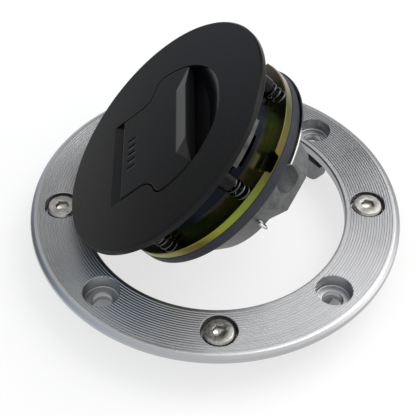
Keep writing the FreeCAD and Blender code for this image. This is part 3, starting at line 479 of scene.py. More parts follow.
def cast_alloy(name, dark, light, dent=None):
    """Die-cast metal: mottling and a fine grain. A dent's floor, given as a centre and a radius in
    metres, is painted dark as painted shade."""
    look = Look(name, Metallic=0.85)
    cloud = look.noise(420.0, 5.0, 0.65)
    grain = look.noise(2600.0, 2.0, 0.6)
    metal = look.ramp(cloud * 0.7 + grain * 0.3, ((0.36, dark), (0.64, light)))
    if dent:
        centre, size = dent
        across = look.along(P, centre) ** 2.0 + look.along(Q, centre) ** 2.0
        far = (across + look.along(N, centre) ** 2.0) ** 0.5
        edge = look.span(far, size + 0.2 * MM, size - 0.2 * MM)
        # painted shade: the dent's floor is made near black
        floor = look.ramp(grain, ((0.3, (0.03, 0.031, 0.034)), (0.7, (0.065, 0.066, 0.07))))
        metal = look.blend(edge, metal, floor)
    look.set("Base Color", metal)
    look.set("Roughness", look.span(cloud, 0.3, 0.7, 0.42, 0.58))
    look.bump(grain * 0.5 + cloud * 0.5, 0.00008, 0.7)
    return look.material


def worn_steel(name, dark, light, smooth, rough):
    """Bright steel with drawn or turned marks and faint stains."""
    look = Look(name, Metallic=1.0)
    stain = look.noise(420.0, 4.0, 0.55)
    fine = look.noise(5200.0, 2.0, 0.5)
    look.set("Base Color", look.ramp(stain, ((0.3, dark), (0.66, light))))
    look.set("Roughness", look.span(stain * 0.6 + fine * 0.4, 0.3, 0.7, smooth, rough))
    look.bump(fine, 0.00001, 0.4)
    return look.material


def satin_black():
    """Black stove enamel with a fine orange-peel and a soft bluish and brownish drift, and painted
    shade that makes it darker under the lid's rim."""
    look = Look("satin_black", Specular_IOR_Level=0.15, Specular_Tint=(0.92, 0.95, 1.0, 1.0))
    drift = look.noise(18.0, 2.0, 0.4)
    peel = look.noise(1500.0, 2.0, 0.5)
    enamel = look.ramp(drift, ((0.35, (0.0058, 0.0052, 0.0044)), (0.65, (0.0048, 0.0055, 0.0075))))
    # painted shade: under the lid's rim, beyond the boss, the enamel is made near black
    below = look.span(look.along(N, LID_CENTRE), -2.4 * MM, -3.0 * MM)
    outside = look.span(look.radius(P, Q, LID_CENTRE), (LID_BOSS - 0.2) * MM, (LID_BOSS + 0.2) * MM)
    look.set("Base Color", look.blend(below * outside, enamel, (0.002, 0.002, 0.0024)))
    look.set("Roughness", look.span(drift * 0.5 + peel * 0.5, 0.3, 0.7, 0.26, 0.34))
    look.bump(peel, 0.00002, 0.25)
    return look.material


def edge_steel():
    """The retainer's steel with painted light and shade: a painted highlight over the lower arc of its edge
    and painted shade over the rest.
    """
    look = Look("edge_steel", Metallic=1.0)
    azimuth = look.stack_azimuth()
    stain = look.noise(420.0, 4.0, 0.55)
    # painted highlight and painted shade: a lit copy and a shaded copy of the same steel
    lit_arc_steel = look.ramp(stain, ((0.3, (0.55, 0.55, 0.55)), (0.66, (0.72, 0.72, 0.71))))
    shaded_arc_steel = look.ramp(stain, ((0.3, (0.05, 0.052, 0.056)), (0.66, (0.09, 0.092, 0.098))))
    # painted shade from this azimuth on; the lower arc keeps the painted highlight
    upper = look.span(azimuth, math.radians(-19.0), math.radians(-14.0))
    look.set("Base Color", look.blend(upper, lit_arc_steel, shaded_arc_steel))
    look.set("Roughness", look.span(stain, 0.3, 0.7, 0.26, 0.4))
    return look.material


def drum_black():
    """Dark passivated steel with painted shade and painted reflection: blue-black above, in the lid's
    shade, and olive with an orange drift towards the plate, where it reflects light.
    """
    look = Look("drum_black", Metallic=1.0)
    cloud = look.noise(95.0, 2.0, 0.5)
    streak = look.noise(260.0, 2.0, 0.5)
    # painted shade above and painted reflection below: the colour turns from blue-black to olive with depth
    low = look.span(look.along(N, LID_CENTRE), -10.6 * MM, -13.6 * MM)
    olive = look.ramp(cloud, ((0.36, (0.045, 0.07, 0.026)), (0.50, (0.075, 0.088, 0.03)),
                              (0.58, (0.115, 0.08, 0.042)), (0.68, (0.055, 0.09, 0.034))))
    look.set("Base Color", look.blend(low, (0.008, 0.0095, 0.0145), olive))
    look.set("Roughness", look.span(streak, 0.3, 0.7, 0.18, 0.30))
    look.bump(streak, 0.00003, 0.3)
    return look.material


def yellow_zinc():
    """Yellow passivated zinc. On the rim the colour drifts with the azimuth about the stack's axis, from
    gold through lime and brown to pink, partly the plating's tint and partly painted reflection; inside
    the rim the top face is kept dark as painted shade under the lid, darker still in the near notch."""
    look = Look("yellow_zinc", Metallic=1.0)
    azimuth = look.stack_azimuth()
    cloud = look.noise(240.0, 3.0, 0.5)
    drift = look.noise(60.0, 2.0, 0.45)
    turn = look.span(azimuth + (cloud - 0.5) * 0.25, -math.pi, math.pi)
    # the rim's colour by azimuth: partly the plating's tint, partly painted reflection and shade
    rim_tint_and_reflection = look.ramp(turn, (
        (0.0, (0.25, 0.19, 0.05)), (0.14, (0.21, 0.23, 0.045)), (0.23, (0.27, 0.22, 0.05)),
        (0.30, (0.19, 0.24, 0.033)), (0.34, (0.15, 0.175, 0.034)), (0.375, (0.10, 0.09, 0.028)),
        (0.41, (0.105, 0.082, 0.03)), (0.44, (0.088, 0.08, 0.026)), (0.475, (0.11, 0.118, 0.045)),
        (0.50, (0.15, 0.15, 0.085)), (0.53, (0.30, 0.22, 0.17)), (0.56, (0.36, 0.30, 0.26)),
        (0.64, (0.22, 0.24, 0.06)), (0.80, (0.25, 0.20, 0.06)), (1.0, (0.25, 0.19, 0.05))))
    # painted shade: the top face inside the rim, under the lid, with a drifting olive and orange tint
    film_in_shade = look.ramp(drift, ((0.38, (0.05, 0.062, 0.05)), (0.50, (0.085, 0.105, 0.045)),
                             (0.60, (0.15, 0.10, 0.06)), (0.70, (0.07, 0.095, 0.05))))
    # painted shade: the near notch is made darker still
    aside = (azimuth + math.radians(NOTCH_ANGLE)).absolute()
    inside = look.span(aside, math.radians(4.6), math.radians(5.6), 1.0, 0.0)
    film_in_shade = look.blend(inside, film_in_shade, (0.02, 0.024, 0.014))
    r = look.radius(P, Q, STACK_CENTRE)
    rim = look.span(r, (PLATE_RADIUS - 0.45) * MM, (PLATE_RADIUS - 0.2) * MM)
    look.set("Base Color", look.blend(rim, film_in_shade, rim_tint_and_reflection))
    look.set("Roughness", look.span(cloud, 0.3, 0.7, 0.26, 0.38))
    look.bump(cloud, 0.00002, 0.3)
    return look.material


def bright_zinc():
    """Yellow passivated zinc on the plates inside the cap."""
    look = Look("bright_zinc", Metallic=1.0)
    drift = look.noise(34.0, 2.0, 0.45)
    cloud = look.noise(240.0, 3.0, 0.5)
    look.set("Base Color", look.ramp(drift * 0.8 + cloud * 0.2, (
        (0.34, (0.40, 0.25, 0.12)), (0.43, (0.42, 0.36, 0.08)), (0.52, (0.40, 0.47, 0.05)),
        (0.60, (0.47, 0.45, 0.08)), (0.70, (0.44, 0.30, 0.17)))))
    look.set("Roughness", look.span(cloud, 0.3, 0.7, 0.24, 0.36))
    look.bump(cloud, 0.00002, 0.3)
    return look.material


def seal_rubber():
    """Moulded rubber, dark blue-grey, with dust in its grain."""
    look = Look("seal_rubber", Specular_IOR_Level=0.35)
    cloud = look.noise(150.0, 3.0, 0.6)
    grain = look.noise(3000.0, 2.0, 0.6)
    look.set("Base Color", look.ramp(cloud * 0.6 + grain * 0.4, (
        (0.35, (0.012, 0.0133, 0.019)), (0.68, (0.023, 0.025, 0.036)))))
    look.set("Roughness", look.span(grain, 0.3, 0.7, 0.5, 0.66))
    look.bump(grain, 0.00004, 0.5)
    return look.material


def moulded_plastic():
    """Black moulded plastic."""
    look = Look("moulded_plastic", Specular_IOR_Level=0.4)
    grain = look.noise(2200.0, 3.0, 0.6)
    look.set("Base Color", look.ramp(grain, ((0.3, (0.018, 0.018, 0.02)), (0.7, (0.03, 0.03, 0.032)))))
    look.set("Roughness", look.span(grain, 0.3, 0.7, 0.4, 0.55))
    look.bump(grain, 0.00003, 0.4)
    return look.material


ALLOY = turned_alloy()
DENT_WAY = math.cos(math.radians(DENT_ANGLE)) * P + math.sin(math.radians(DENT_ANGLE)) * Q
DENT = LID_CENTRE + MM * (DENT_AT * DENT_WAY - DENT_DEPTH * N)
CAST = cast_alloy("cast_alloy", (0.15, 0.153, 0.158), (0.27, 0.273, 0.28))
# this casting's dent floor takes painted shade
DARK_CAST = cast_alloy("dark_cast", (0.085, 0.087, 0.09), (0.185, 0.187, 0.19), (DENT, DENT_RADIUS * MM))
SCREW = worn_steel("screw_steel", (0.29, 0.28, 0.27), (0.50, 0.485, 0.465), 0.22, 0.36)
BRIGHT = worn_steel("bright_steel", (0.48, 0.48, 0.48), (0.66, 0.66, 0.65), 0.2, 0.34)
DULL = worn_steel("dull_steel", (0.045, 0.045, 0.048), (0.10, 0.10, 0.102), 0.3, 0.42)
SPRING = worn_steel("spring_steel", (0.035, 0.036, 0.04), (0.10, 0.102, 0.11), 0.2, 0.34)
BRASS = worn_steel("lock_nickel", (0.44, 0.40, 0.31), (0.64, 0.59, 0.46), 0.2, 0.32)
BLACK = satin_black()
DRUM = drum_black()
ZINC = yellow_zinc()
PLATING = bright_zinc()
RUBBER = seal_rubber()
EDGE = edge_steel()
PLASTIC = moulded_plastic()

for material, *names in (
        (BRIGHT, "lock_collar", "cam_clip", "vent_ball", "cover_pin", "cover_leaf", "hinge_pins"),
        (SCREW, "body_screws", "base_screws", "arm_screws"), (PLATING, "latch_cover", "lock_cam"),
        (BRASS, "lock_cylinder"), (DARK_CAST, "bottom_cover"), (PLASTIC, "vent_body"),
        (SPRING, "vent_spring"), (DRUM, "latch_body")):
    for name in names:
        for holder in frame["nodes"][name].material_slots:
            holder.material = material


def around(count, first=0.0):
    """Places on the screw circle, as (x, y) in millimetres."""
    angles = np.radians(first + 360.0 / count * np.arange(count))
    return [(BOLT_CIRCLE * math.cos(a), BOLT_CIRCLE * math.sin(a)) for a in angles]


def spring_places():
    """Azimuth in radians and place (x, y) of each lift spring, about the shifted axis of the stack."""
    for angle in SPRING_ANGLES:
        a = math.radians(angle)
        yield a, (SPRING_AT * math.cos(a) + STACK_SHIFT, SPRING_AT * math.sin(a))


def bezel_ring():
    """The ring is turned from a profile whose top has grooves: between GROOVE_FROM and GROOVE_TO the
    height is lowered by the depth times a rounded notch that repeats once per pitch."""
    pitch = (GROOVE_TO - GROOVE_FROM) / GROOVES
    notch = np.array([[-0.36, 0.0], [-0.29, 0.2], [-0.13, 0.88], [0.0, 1.0], [0.13, 0.88], [0.29, 0.2],
                      [0.36, 0.0]])
    centres = GROOVE_FROM + pitch * (np.arange(GROOVES) + 0.5)
    top_r = (centres[:, None] + pitch * notch[None, :, 0]).ravel()
    top_z = RING_TOP - GROOVE_DEEP * np.tile(notch[:, 1], GROOVES)
    top = np.stack([top_r, top_z], axis=1)
    under = RING_TOP - WALL_THICK
    lip = RING_TOP - RIM_THICK
    inner = soften([[BORE + 1.4, under], [BORE, under], [BORE, RING_TOP - 0.45],
                    [BORE + 0.45, RING_TOP], [GROOVE_FROM, RING_TOP]], [0.35, 0.3, 0.3])
    outer = soften([[GROOVE_TO, RING_TOP], [RING_RADIUS - 1.5, RING_TOP],
                    [RING_RADIUS - 0.15, RING_TOP - 0.75], [RING_RADIUS, lip], [WALL_REACH, lip],
                    [WALL_REACH - 0.1, under], [BORE + 1.5, under]],
                   [2.4, 0.7, 0.5, 0.4, 0.3], 8)
    profile = np.concatenate([inner[:-1], top, outer])
    piece = shell("bezel", turn_profile(profile, 480), on_ring, loop=True)
    bosses, holes = [], []
    for first, radius, low, depth, hole in (
            (0.0, SCREW_BOSS, RING_TOP - SEAT_DEPTH - 1.4, SEAT_DEPTH, SCREW_HOLE),
            (45.0, MOUNT_BOSS, 1.6, CBORE_DEPTH, MOUNT_HOLE)):
        for x, y in around(4, first):
            corners = [[0, BOSS_TOP], [radius, BOSS_TOP], [radius, low], [0, low]]
            bosses.append(lathe("boss", corners, [0, 0.5], on_ring, 64, at=(x, y)))
            holes.append(seat(x, y, depth, hole))
    combine(piece, bosses, "UNION")
    combine(piece, holes, "DIFFERENCE")
    reliefs = []
    for side in (-1, 1):
        knuckle, ear = side * KNUCKLE_AT, side * EAR_AT
        reliefs.append(box("relief", (-49.3, knuckle - KNUCKLE_HALF, 0),
                           (-37.3, knuckle + KNUCKLE_HALF, 5.5), on_ring))
        reliefs.append(box("relief", (-50.1, ear - EAR_HALF, -1), (-43.1, ear + EAR_HALF, under), on_ring))
    for tool in reliefs:
        combine(piece, [tool], "DIFFERENCE")
    finish(piece, "bezel", "ring", "ring_metal", ALLOY, "bezel_ring", crease=32.0, flat_faces=True)


def seat(x, y, depth, hole):
    """Cutter of a seat with a lightly broken edge and a rounded floor, and of the hole in it."""
    floor, wide = RING_TOP - depth, SEAT_RADIUS + 0.25
    return lathe("seat", [[0, RING_TOP + 1], [wide, RING_TOP + 1], [wide, RING_TOP],
                          [SEAT_RADIUS, RING_TOP - 0.25], [SEAT_RADIUS, floor], [hole + 0.2, floor],
                          [hole, floor - 0.2], [hole, -1], [0, -1]],
                 [0, 0, 0.15, 0.45, 0.1, 0.1, 0], on_ring, 96, at=(x, y), steps=5)


def ring_screw(x, y, turn):
    """A screw with a low rounded head. The socket is a hexagon: its radius is the flat's distance over
    the cosine of the angle to the nearest flat, and the rim outside it fades back to a circle."""
    seat_z = RING_TOP - SEAT_DEPTH
    head, top, flat = 4.75, seat_z + 2.75, 1.82

    def hexagon(angle, r, z):
        wall = flat / np.cos((angle - turn + math.pi / 6) % (math.pi / 3) - math.pi / 6)
        fade = np.clip((r - flat) / 0.9, 0, 1)
        return np.where(r <= flat, r / flat * wall, r + (wall - flat) * (1 - fade))

    return lathe("screw", [[0, top - 1.95], [0.8, top - 1.8], [flat, top - 1.6], [flat, top - 0.18],
                           [flat + 0.16, top - 0.02], [2.8, top], [4.02, top - 0.02], [head, seat_z + 2.0],
                           [head, seat_z + 0.15], [head - 0.15, seat_z], [2.5, seat_z], [2.5, 0.3],
                           [2.2, 0.2], [0, 0.2]],
                 [0, 0.1, 0.06, 0.06, 0.1, 0.3, 0.7, 0.4, 0.1, 0.1, 0.1, 0.1], on_ring, 96, at=(x, y),
                 radius_of=hexagon)


def ring_screws():
    pieces = [ring_screw(x, y, turn) for (x, y), turn in zip(around(4), (0.2, 0.9, 0.5, 0.35))]
    finish(joined(pieces), "screws", "ring", "screw_steel", SCREW, "ring_screws")


def cover_half_width(x, gap=0.0):
    """Half width of the key cover over x: the straight tongue, then a concave arc and a convex arc
    that are tangent, then the round head. A gap grows the outline evenly."""
    near_y, inner, outer = COVER_HALF + NECK_CURVE, NECK_CURVE - gap, KNEE_CURVE + gap
    knee = knee_centre()
    head = COVER_HEAD + gap
    touch_x = NECK_AT + (knee[0] - NECK_AT) * inner / (NECK_CURVE + KNEE_CURVE)
    leave_x = knee[0] / math.hypot(*knee) * head
    concave = near_y - np.sqrt(np.maximum(inner ** 2 - (x - NECK_AT) ** 2, 0))
    convex = knee[1] + np.sqrt(np.maximum(outer ** 2 - (x - knee[0]) ** 2, 0))
    circle = np.sqrt(np.maximum(head ** 2 - x ** 2, 0))
    round_part = np.where(x < leave_x, convex, circle)
    return np.where(x < NECK_AT, COVER_HALF + gap, np.where(x < touch_x, concave, round_part))


def knee_centre():
    """Centre of the convex arc: its distance from the middle is the head's radius less its own, and
    from the concave arc's centre the sum of both radii."""
    near = np.array([NECK_AT, COVER_HALF + NECK_CURVE])
    far = np.linalg.norm(near)
    reach, span = COVER_HEAD - KNEE_CURVE, NECK_CURVE + KNEE_CURVE
    along = (reach ** 2 - span ** 2 + far ** 2) / (2 * far)
    off = math.sqrt(reach ** 2 - along ** 2)
    unit = near / far
    return unit * along + np.array([unit[1], -unit[0]]) * off


def outline(gap, near_gap):
    """The key cover's closed outline, denser where it bends. near_gap widens it on its -Q side."""
    right = COVER_HEAD + gap
    count, bend = 220, (-9.0, 4.0)
    t = np.linspace(0, 1, count)
    x = np.concatenate([np.linspace(COVER_LEFT - gap, bend[0], 12)[:-1],
                        np.linspace(bend[0], bend[1], count // 2)[:-1],
                        bend[1] + (right - bend[1]) * np.sin(t * math.pi / 2)])
    half = cover_half_width(x, gap)
    upper = np.stack([x, half], axis=1)
    meets = half[-1] <= 1e-9
    lower = upper[-2 if meets else -1::-1] * (1, -1)
    lower[:, 1] -= near_gap * np.clip(-lower[:, 1] / 6.0, 0, 1)
    return np.concatenate([upper, lower])


def prism(name, layers, place, near_gap):
    """A closed solid from stacked outlines: layers of (gap, z)."""
    rows = []
    for gap, z in layers:
        loop = outline(gap, near_gap)
        rows.append(np.column_stack([loop, np.full(len(loop), z)]))
    count = min(len(row) for row in rows)
    grid = np.stack([row[:count] for row in rows])
    low = grid[:1] * (0, 0, 1) + (-2.0, 0, 0)
    high = grid[-1:] * (0, 0, 1) + (-2.0, 0, 0)
    grid = np.concatenate([low, grid, high]).transpose(1, 0, 2)
    return shell(name, grid, place, poles=True)


def lid():
    """Turned disc with spring posts, a pocket for the key cover, a ramped scoop and a sloped relief."""
    piece = lathe("lid", [[0, 0], [LID_RADIUS - 0.5, 0], [LID_RADIUS, -0.5], [LID_RADIUS, -LID_EDGE],
                          [35.8, -LID_EDGE], [35.7, -LID_THICK], [LID_BOSS, -LID_THICK],
                          [LID_BOSS - 0.1, -LID_BOSS_END], [0, -LID_BOSS_END]],
                  [0.25, 0.25, 0.3, 0.2, 0.3, 0.3, 0.4], on_cap, 360)
    corners = [[0, -1.2], [POST_RADIUS, -1.2], [POST_RADIUS, -POST_END], [SPIGOT_RADIUS, -POST_END],
               [SPIGOT_RADIUS, -SPIGOT_END], [0, -SPIGOT_END]]
    posts = [lathe("post", corners, [0, 0.5, 0.1, 0.3], on_cap, 48, at=at) for _, at in spring_places()]
    combine(piece, posts, "UNION")
    pocket = prism("pocket", [(COVER_GAP + 0.14, 0.6), (COVER_GAP + 0.14, 0.02), (COVER_GAP + 0.04, -0.05),
                              (COVER_GAP, -0.16), (COVER_GAP, -3.8), (COVER_GAP - 0.12, -4.08),
                              (COVER_GAP - 0.4, -POCKET_DEPTH)], on_cap, near_gap=0.3)
    combine(pocket, [scoop_ramp()], "DIFFERENCE")
    combine(piece, [pocket], "DIFFERENCE")
    combine(piece, [relief_wedge()], "DIFFERENCE")
    keyhole = lathe("keyhole", [[0, 1], [KEYHOLE, 1], [KEYHOLE, -7], [0, -7]], [0, 0], on_cap, 96)
    combine(piece, [keyhole], "DIFFERENCE")
    finish(piece, "lid_disc", "cap", "black_paint", BLACK, "lid", crease=20.0, flat_faces=True)


def plank(name, corners, low, high):
    """A prism along Q: a closed profile of (x, z) between two values of y, shut by fans at its ends."""
    corners = np.asarray(corners, dtype=float)
    ends = [np.column_stack([corners[:, 0], np.full(len(corners), y), corners[:, 1]]) for y in (low, high)]
    middles = [np.repeat(end.mean(axis=0, keepdims=True), len(corners), axis=0) for end in ends]
    grid = np.stack([middles[0], *ends, middles[1]])
    return shell(name, grid, on_cap, around=False, loop=True, poles=True)


def scoop_ramp():
    """What stays in the pocket's round end: a flat floor, then a rise to the top face that mixes a
    straight slope with the cubic 3 t^2 - 2 t^3, so that it starts and ends gently. It ends at
    x = sqrt(R^2 - (0.75 y)^2), flatter than the round end, which leaves a wall at both sides."""
    run, floor, wide = 7.85, -4.25, 22.0
    t = np.linspace(0, 1, 40)
    z = floor - floor * (0.35 * t + 0.65 * (3 * t ** 2 - 2 * t ** 3))
    rows = []
    for y in np.linspace(-wide, wide, 45):
        end = math.sqrt((COVER_HEAD + COVER_GAP) ** 2 - (0.75 * y) ** 2)
        section = np.concatenate([[[8.0, -4.6], [8.0, floor]], np.stack([end - run + run * t, z], axis=1),
                                  [[24.6, 0.3], [24.6, -4.6]]])
        rows.append(np.column_stack([section[:, 0], np.full(len(section), y), section[:, 1]]))
    caps = [np.repeat([[16.0, y, -4.4]], len(rows[0]), axis=0) for y in (-wide, wide)]
    return shell("ramp", np.stack([caps[0], *rows, caps[1]]), on_cap, around=False, loop=True, poles=True)


def relief_wedge():
    """Cutter of the slope at the hinge side: a wedge from the top face down to the cover's edge."""
    return plank("wedge", [[-20.2, 0.4], [-20.0, 0.0], [-15.6, -2.25], [-15.6, 0.4]],
                 -RELIEF_HALF, RELIEF_HALF)


def key_cover():
    """A plate over the outline. Its top is a height field: a ridge near the grip edge, edges rolled
    off by the distance to the outline, and five short engraved bars near the hinge."""
    right = COVER_RIGHT
    x = np.concatenate([np.linspace(COVER_LEFT, COVER_LEFT + 0.5, 7)[:-1],
                        np.linspace(COVER_LEFT + 0.5, -9.0, 60)[:-1],
                        np.linspace(-9.0, 3.0, 90)[:-1], np.linspace(3.0, right - 0.6, 60)[:-1],
                        np.linspace(right - 0.6, right, 14)])
    edge = np.linspace(-1, 1, 181)
    v = np.sign(edge) * (1 - (1 - np.abs(edge)) ** 1.35)
    gx = np.repeat(x[:, None], len(v), axis=1)
    half = cover_half_width(x)
    gy = v[None, :] * half[:, None]
    slope = np.gradient(half, x)[:, None]
    side = (half[:, None] - np.abs(gy)) / np.sqrt(1 + slope ** 2)
    distance = np.minimum(np.minimum(side, gx - COVER_LEFT), right - gx)
    roll = 0.35
    inset = np.clip(roll - distance, 0, roll)
    z = ridge(gx, np.abs(gy)) - (roll - np.sqrt(np.maximum(roll ** 2 - inset ** 2, 0)))
    z = z - 0.16 * bars(gx, gy)
    top = np.stack([gx, gy, z], axis=-1)
    floor = np.stack([gx, gy, np.full_like(gx, -COVER_THICK)], axis=-1)

    def border(grid):
        return np.concatenate([grid[:, 0], grid[-1, 1:], grid[-2::-1, -1], grid[0, -2:0:-1]])

    faces = [shell("key", top, on_cap, around=False), shell("floor", floor, on_cap, around=False)]
    skirt = np.stack([border(top), border(floor)], axis=1)
    faces.append(shell("skirt", skirt, on_cap))
    piece = joined(faces)
    tidy(piece)
    finish(piece, "key_flap", "flap", "black_paint", BLACK, "key_cover", crease=50.0)


def ridge(x, y):
    """Height of the grip ridge: the least of a slope from its foot, a steep side at the grip edge and
    the two end slopes, with the crest and foot rounded."""
    foot, crest, tall = 6.6, 11.6, 1.4
    long, foot_long, crest_long = 19.85, 13.0, 11.5
    front = (x - foot) / (crest - foot)
    taper = (long - foot_long) / (COVER_RIGHT - foot)
    end = (long - y - (COVER_RIGHT - x) * taper) / (long - crest_long)
    back = (COVER_RIGHT + 0.05 - x) / (COVER_RIGHT + 0.05 - crest)
    low = np.minimum(np.minimum(front, end), back)
    soft = 0.05
    return tall * 0.5 * (low + np.sqrt(low ** 2 + soft ** 2)) * (low > -0.4)


def bars(x, y):
    """Mask of five equal engraved bars side by side along the hinge side, with sloped walls."""
    mask = np.zeros_like(x)
    middle, half_long, half_wide, wall = -12.0, 1.7, 0.5, 0.15
    for centre in (-5.6, -2.8, 0.0, 2.8, 5.6):
        inside = np.minimum(half_long - np.abs(x - middle), half_wide - np.abs(y - centre))
        mask = np.maximum(mask, np.clip(inside / wall, 0, 1))
    return mask


def notch(azimuth):
    """Cutter of a notch of the plate: a U with rounded lower corners and a flared top, carried outwards
    from r = 30.6 to 40.6 at an azimuth about the stack's axis."""
    section = soften([[0, -13.2], [-3.7, -13.2], [-3.7, -13.9], [-2.8, -14.9], [-2.8, -16.3], [2.8, -16.3],
                      [2.8, -14.9], [3.7, -13.9], [3.7, -13.2], [0, -13.2]],
                     [0, 0.35, 0.9, 0.75, 0.75, 0.9, 0.35, 0], 8)[:-1]
    a = math.radians(azimuth)
    inner, outer, middle = 30.6, 40.6, -14.7
    rings = []
    for r, size in ((inner, 0.0), (inner, 1.0), (outer, 1.0), (outer, 0.0)):
        side, z = section[:, 0] * size, middle + (section[:, 1] - middle) * size
        rings.append(np.stack([r * math.cos(a) - side * math.sin(a) + STACK_SHIFT,
                               r * math.sin(a) + side * math.cos(a), z], axis=-1))
    return shell("notch", np.stack(rings), on_cap, around=False, loop=True, poles=True)


def band(inner, outer, top, end):
    """Corners of a flat ring's profile between two radii and two depths."""
    return [[inner, -top], [outer, -top], [outer, -end], [inner, -end]]


def stack_pieces():
    """Drum, seal plate, seal and retainer, all turned about the shifted axis of the stack."""
    at = (STACK_SHIFT, 0)
    drum = lathe("drum", band(DRUM_BORE, DRUM_RADIUS, DRUM_TOP, PLATE_TOP),
                 [0.5, 0.7, 0.05, 0.05], on_cap, 360, hollow=True, at=at)
    corners = [[0, -5], [SCALLOP_RADIUS, -5], [SCALLOP_RADIUS, -14.5], [0, -14.5]]
    tools = [lathe("scallop", corners, [0, 0], on_cap, 64, at=place) for _, place in spring_places()]
    for side in (-1, 1):
        tools.append(box("slot", (25.4, -4.8, -9.7), (40.0, 4.8, -5.0), on_cap, side * BOLT_ANGLE))
    combine(drum, tools, "DIFFERENCE")
    finish(drum, "drum_wall", "carrier", "gloss_black", DRUM, "inner_drum", flat_faces=True)
    plate = lathe("plate", band(PLATE_BORE, PLATE_RADIUS, PLATE_TOP, PLATE_END),
                  [0.2, 0.28, 0.28, 0.2], on_cap, 480, hollow=True, at=at)
    combine(plate, [notch(side * NOTCH_ANGLE) for side in (-1, 1)], "DIFFERENCE")
    finish(plate, "zinc_plate", "carrier", "yellow_zinc", ZINC, "seal_plate", flat_faces=True)
    seal = lathe("seal", band(SEAL_BORE, SEAL_RADIUS, PLATE_END, SEAL_END),
                 [0.2, 0.5, 0.8, 0.3], on_cap, 360, hollow=True, at=at)
    finish(seal, "seal_ring", "carrier", "seal_rubber", RUBBER, "main_seal")

    def reach(angle, r, z):
        """The outer edge is wide over an arc of 122 degrees and narrow elsewhere."""
        turn = np.degrees(angle + 0 * r)
        wide = (turn > 325.0) | (turn < 87.0)
        return np.where((r > RETAINER_NARROW) & ~wide, r - RETAINER_RADIUS + RETAINER_NARROW, r + 0 * turn)

    stop = lathe("stop", band(RETAINER_BORE, RETAINER_RADIUS, SEAL_END, RETAINER_END),
                 [0.1, 0.12, 0.12, 0.1], on_cap, 720, hollow=True, at=at, radius_of=reach, steps=4)
    finish(stop, "stop_ring", "carrier", "bright_steel", EDGE, "seal_retainer", flat_faces=True)


def springs():
    """Coils: a round wire carried along a helix, its ends drawn in to closed tips."""
    wire, mean, turns = 0.33, 2.1, 3.0
    top, bottom = -POST_END - wire, -PLATE_TOP + wire
    steps, sides = 150, 12
    t = np.linspace(0, 1, steps)
    ends = 0.12
    climb = np.clip((t - ends) / (1 - 2 * ends), 0, 1)
    phase = 2 * math.pi * (turns + 0.5) * t
    axis_z = top + (bottom - top) * climb
    centre = np.stack([mean * np.cos(phase), mean * np.sin(phase), axis_z], axis=-1)
    tangent = np.gradient(centre, axis=0)
    tangent /= np.linalg.norm(tangent, axis=1, keepdims=True)
    outward = np.stack([np.cos(phase), np.sin(phase), 0 * phase], axis=-1)
    other = np.cross(tangent, outward)
    around_wire = np.linspace(0, 2 * math.pi, sides, endpoint=False)
    thick = np.ones(steps)
    thick[[0, -1]] = 0.0
    ring = (np.cos(around_wire)[None, :, None] * outward[:, None]
            + np.sin(around_wire)[None, :, None] * other[:, None])
    coil = centre[:, None] + wire * thick[:, None, None] * ring
    pieces = []
    for a, at in spring_places():
        shift = np.array([*at, 0.0])
        spin = np.array([[math.cos(a), -math.sin(a), 0], [math.sin(a), math.cos(a), 0], [0, 0, 1]])
        pieces.append(shell("coil", (coil @ spin.T + shift).transpose(1, 0, 2), on_cap, poles=True))
    coils = finish(joined(pieces), "coils", "carrier", "spring_steel", SPRING, "lift_springs", crease=60.0)
    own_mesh(coils)


bezel_ring()
ring_screws()
lid()
key_cover()
stack_pieces()
springs()
rounded_copy("base_ring", 0.35, "ring", "cast_metal", CAST)
rounded_copy("base_casting", 0.5, "cap", "cast_metal", DARK_CAST)
rounded_copy("hinge_arm", 0.3, "cap", "bright_steel", BRIGHT)
rounded_copy("latch_bolt_left", 0.25, "bolt_left", "bright_steel", DULL)
rounded_copy("latch_bolt_right", 0.25, "bolt_right", "bright_steel", DULL)
rounded_copy("tether_eye", 0.01, "cap", "bright_steel", BRIGHT)


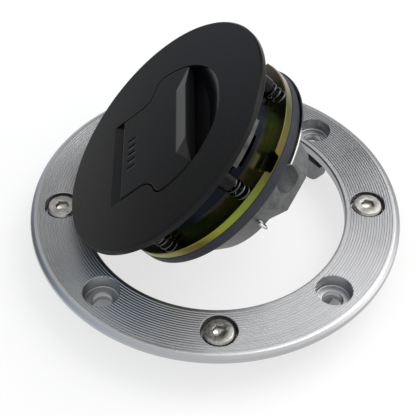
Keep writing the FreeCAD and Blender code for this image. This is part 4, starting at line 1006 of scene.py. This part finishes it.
def stage():
    """A pale floor that the camera sees almost white, with a soft shadow left in it. It darkens far
    behind the hinge side, and the shade below the two open holes in front is kept. The sky dims
    towards the far side, and low at the far left it is dark."""
    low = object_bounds()[0][2]
    reach = 3.0
    mesh = bpy.data.meshes.new("floor")
    corners = [(-reach, -reach, low), (reach, -reach, low), (reach, reach, low), (-reach, reach, low)]
    mesh.from_pydata(corners, [], [(0, 1, 2, 3)])
    floor = bpy.data.objects.new("floor", mesh)
    bpy.context.scene.collection.objects.link(floor)
    look = Look("floor_white", Roughness=0.9)
    near = look.span(look.along((-0.74, 0.67, 0.0)), 0.24, 0.4, 1.0, 0.0)
    hole = BOLT_CIRCLE * math.sqrt(0.5) * MM
    aside = look.along(X_AXIS).absolute() - hole
    deep = look.along(Y_AXIS, (0, 7.4 * MM - hole, 0))
    lit = look.span((aside ** 2.0 + deep ** 2.0) ** 0.5, 3.8 * MM, 5.4 * MM)
    cloud = look.noise(40.0, 2.0, 0.5)
    pale = look.ramp(cloud, ((0.3, (0.855, 0.855, 0.855)), (0.7, (0.865, 0.865, 0.865))))
    look.set("Base Color", look.blend(near, (0.2, 0.2, 0.2), pale))
    path = look.tree.nodes.new("ShaderNodeLightPath")
    glow = look.node("ShaderNodeEmission", {}, {"Color": (1, 1, 1, 1), "Strength": 1.0})
    kinds = ("Is Camera Ray", "Is Glossy Ray", "Is Transmission Ray")
    rays = [Signal(look, path.outputs[kind]) for kind in kinds]
    share = (rays[0] + rays[1] + rays[2]).clamp() * 0.68 * near * lit
    mix = look.node("ShaderNodeMixShader", {}, {0: share, 1: Signal(look, look.shader.outputs[0]), 2: glow})
    look.tree.links.new(mix.socket, look.tree.nodes["Material Output"].inputs["Surface"])
    mesh.materials.append(look.material)
    floor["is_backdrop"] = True
    world = bpy.data.worlds.new("studio")
    bpy.context.scene.world = world
    sky = Look("studio", world)
    far = sky.along((-0.15, 0.95, -0.27))
    left = sky.along((-1.0, 0.0, 0.0))
    low_left = sky.along((-0.80, 0.60, 0.0))
    warm, cool = (1.0, 0.99, 0.97), (0.72, 0.84, 1.0)
    sky.set("Color", sky.ramp(sky.span(left, 0.3, 0.75), ((0.0, warm), (1.0, cool))))
    across = sky.span(left, 0.58, 0.76, 1.0, 0.0)
    rest = sky.span(low_left, 0.55, 0.9, 1.0, 0.0)
    sky.set("Strength", sky.span(far, 0.1, 0.7, 0.95, 0.25) * rest + across * (1.0 - rest))


def lamp(name, place, aim, size, power, colour=(1, 1, 1)):
    """A soft square light that faces a point."""
    data = bpy.data.lights.new(name, "AREA")
    data.size = size
    data.energy = power
    data.color = colour
    light = bpy.data.objects.new(name, data)
    back = np.array(place, dtype=float) - np.array(aim, dtype=float)
    back /= np.linalg.norm(back)
    side = np.cross((0.0, 0.0, 1.0), back)
    side /= np.linalg.norm(side)
    up = np.cross(back, side)
    turn = np.eye(4)
    turn[:3, 0], turn[:3, 1], turn[:3, 2], turn[:3, 3] = side, up, back, place
    light.matrix_world = Matrix(turn.tolist())
    bpy.context.scene.collection.objects.link(light)


def camera():
    """The photograph's viewpoint: above and in front of the ring, turned and rolled a little."""
    elevation, heading, roll = math.radians(47.84), math.radians(1.80), math.radians(-1.108)
    level = math.cos(elevation)
    along = np.array([level * math.sin(heading), level * math.cos(heading), -math.sin(elevation)])
    right = np.array([math.cos(heading), -math.sin(heading), 0.0])
    up = np.cross(right, along)
    side = right * math.cos(roll) - up * math.sin(roll)
    top = right * math.sin(roll) + up * math.cos(roll)
    data = bpy.data.cameras.new("camera")
    data.lens = 86.26
    data.sensor_width = 36.0
    data.clip_start = 0.01
    view = bpy.data.objects.new("camera", data)
    turn = np.eye(4)
    turn[:3, 0], turn[:3, 1], turn[:3, 2] = side, top, -along
    turn[:3, 3] = (-0.00895, -0.21064, 0.23902)
    view.matrix_world = Matrix(turn.tolist())
    bpy.context.scene.collection.objects.link(view)
    bpy.context.scene.camera = view


stage()
lamp("key", (0.4, 0.25, 0.8), (0, 0, 0.02), 0.7, 4.5)
lamp("side", (0.75, 0.05, 0.35), (0, 0, 0.02), 0.5, 0.8, (1.0, 0.99, 0.95))
camera()
bpy.context.scene.view_settings.view_transform = "Standard"
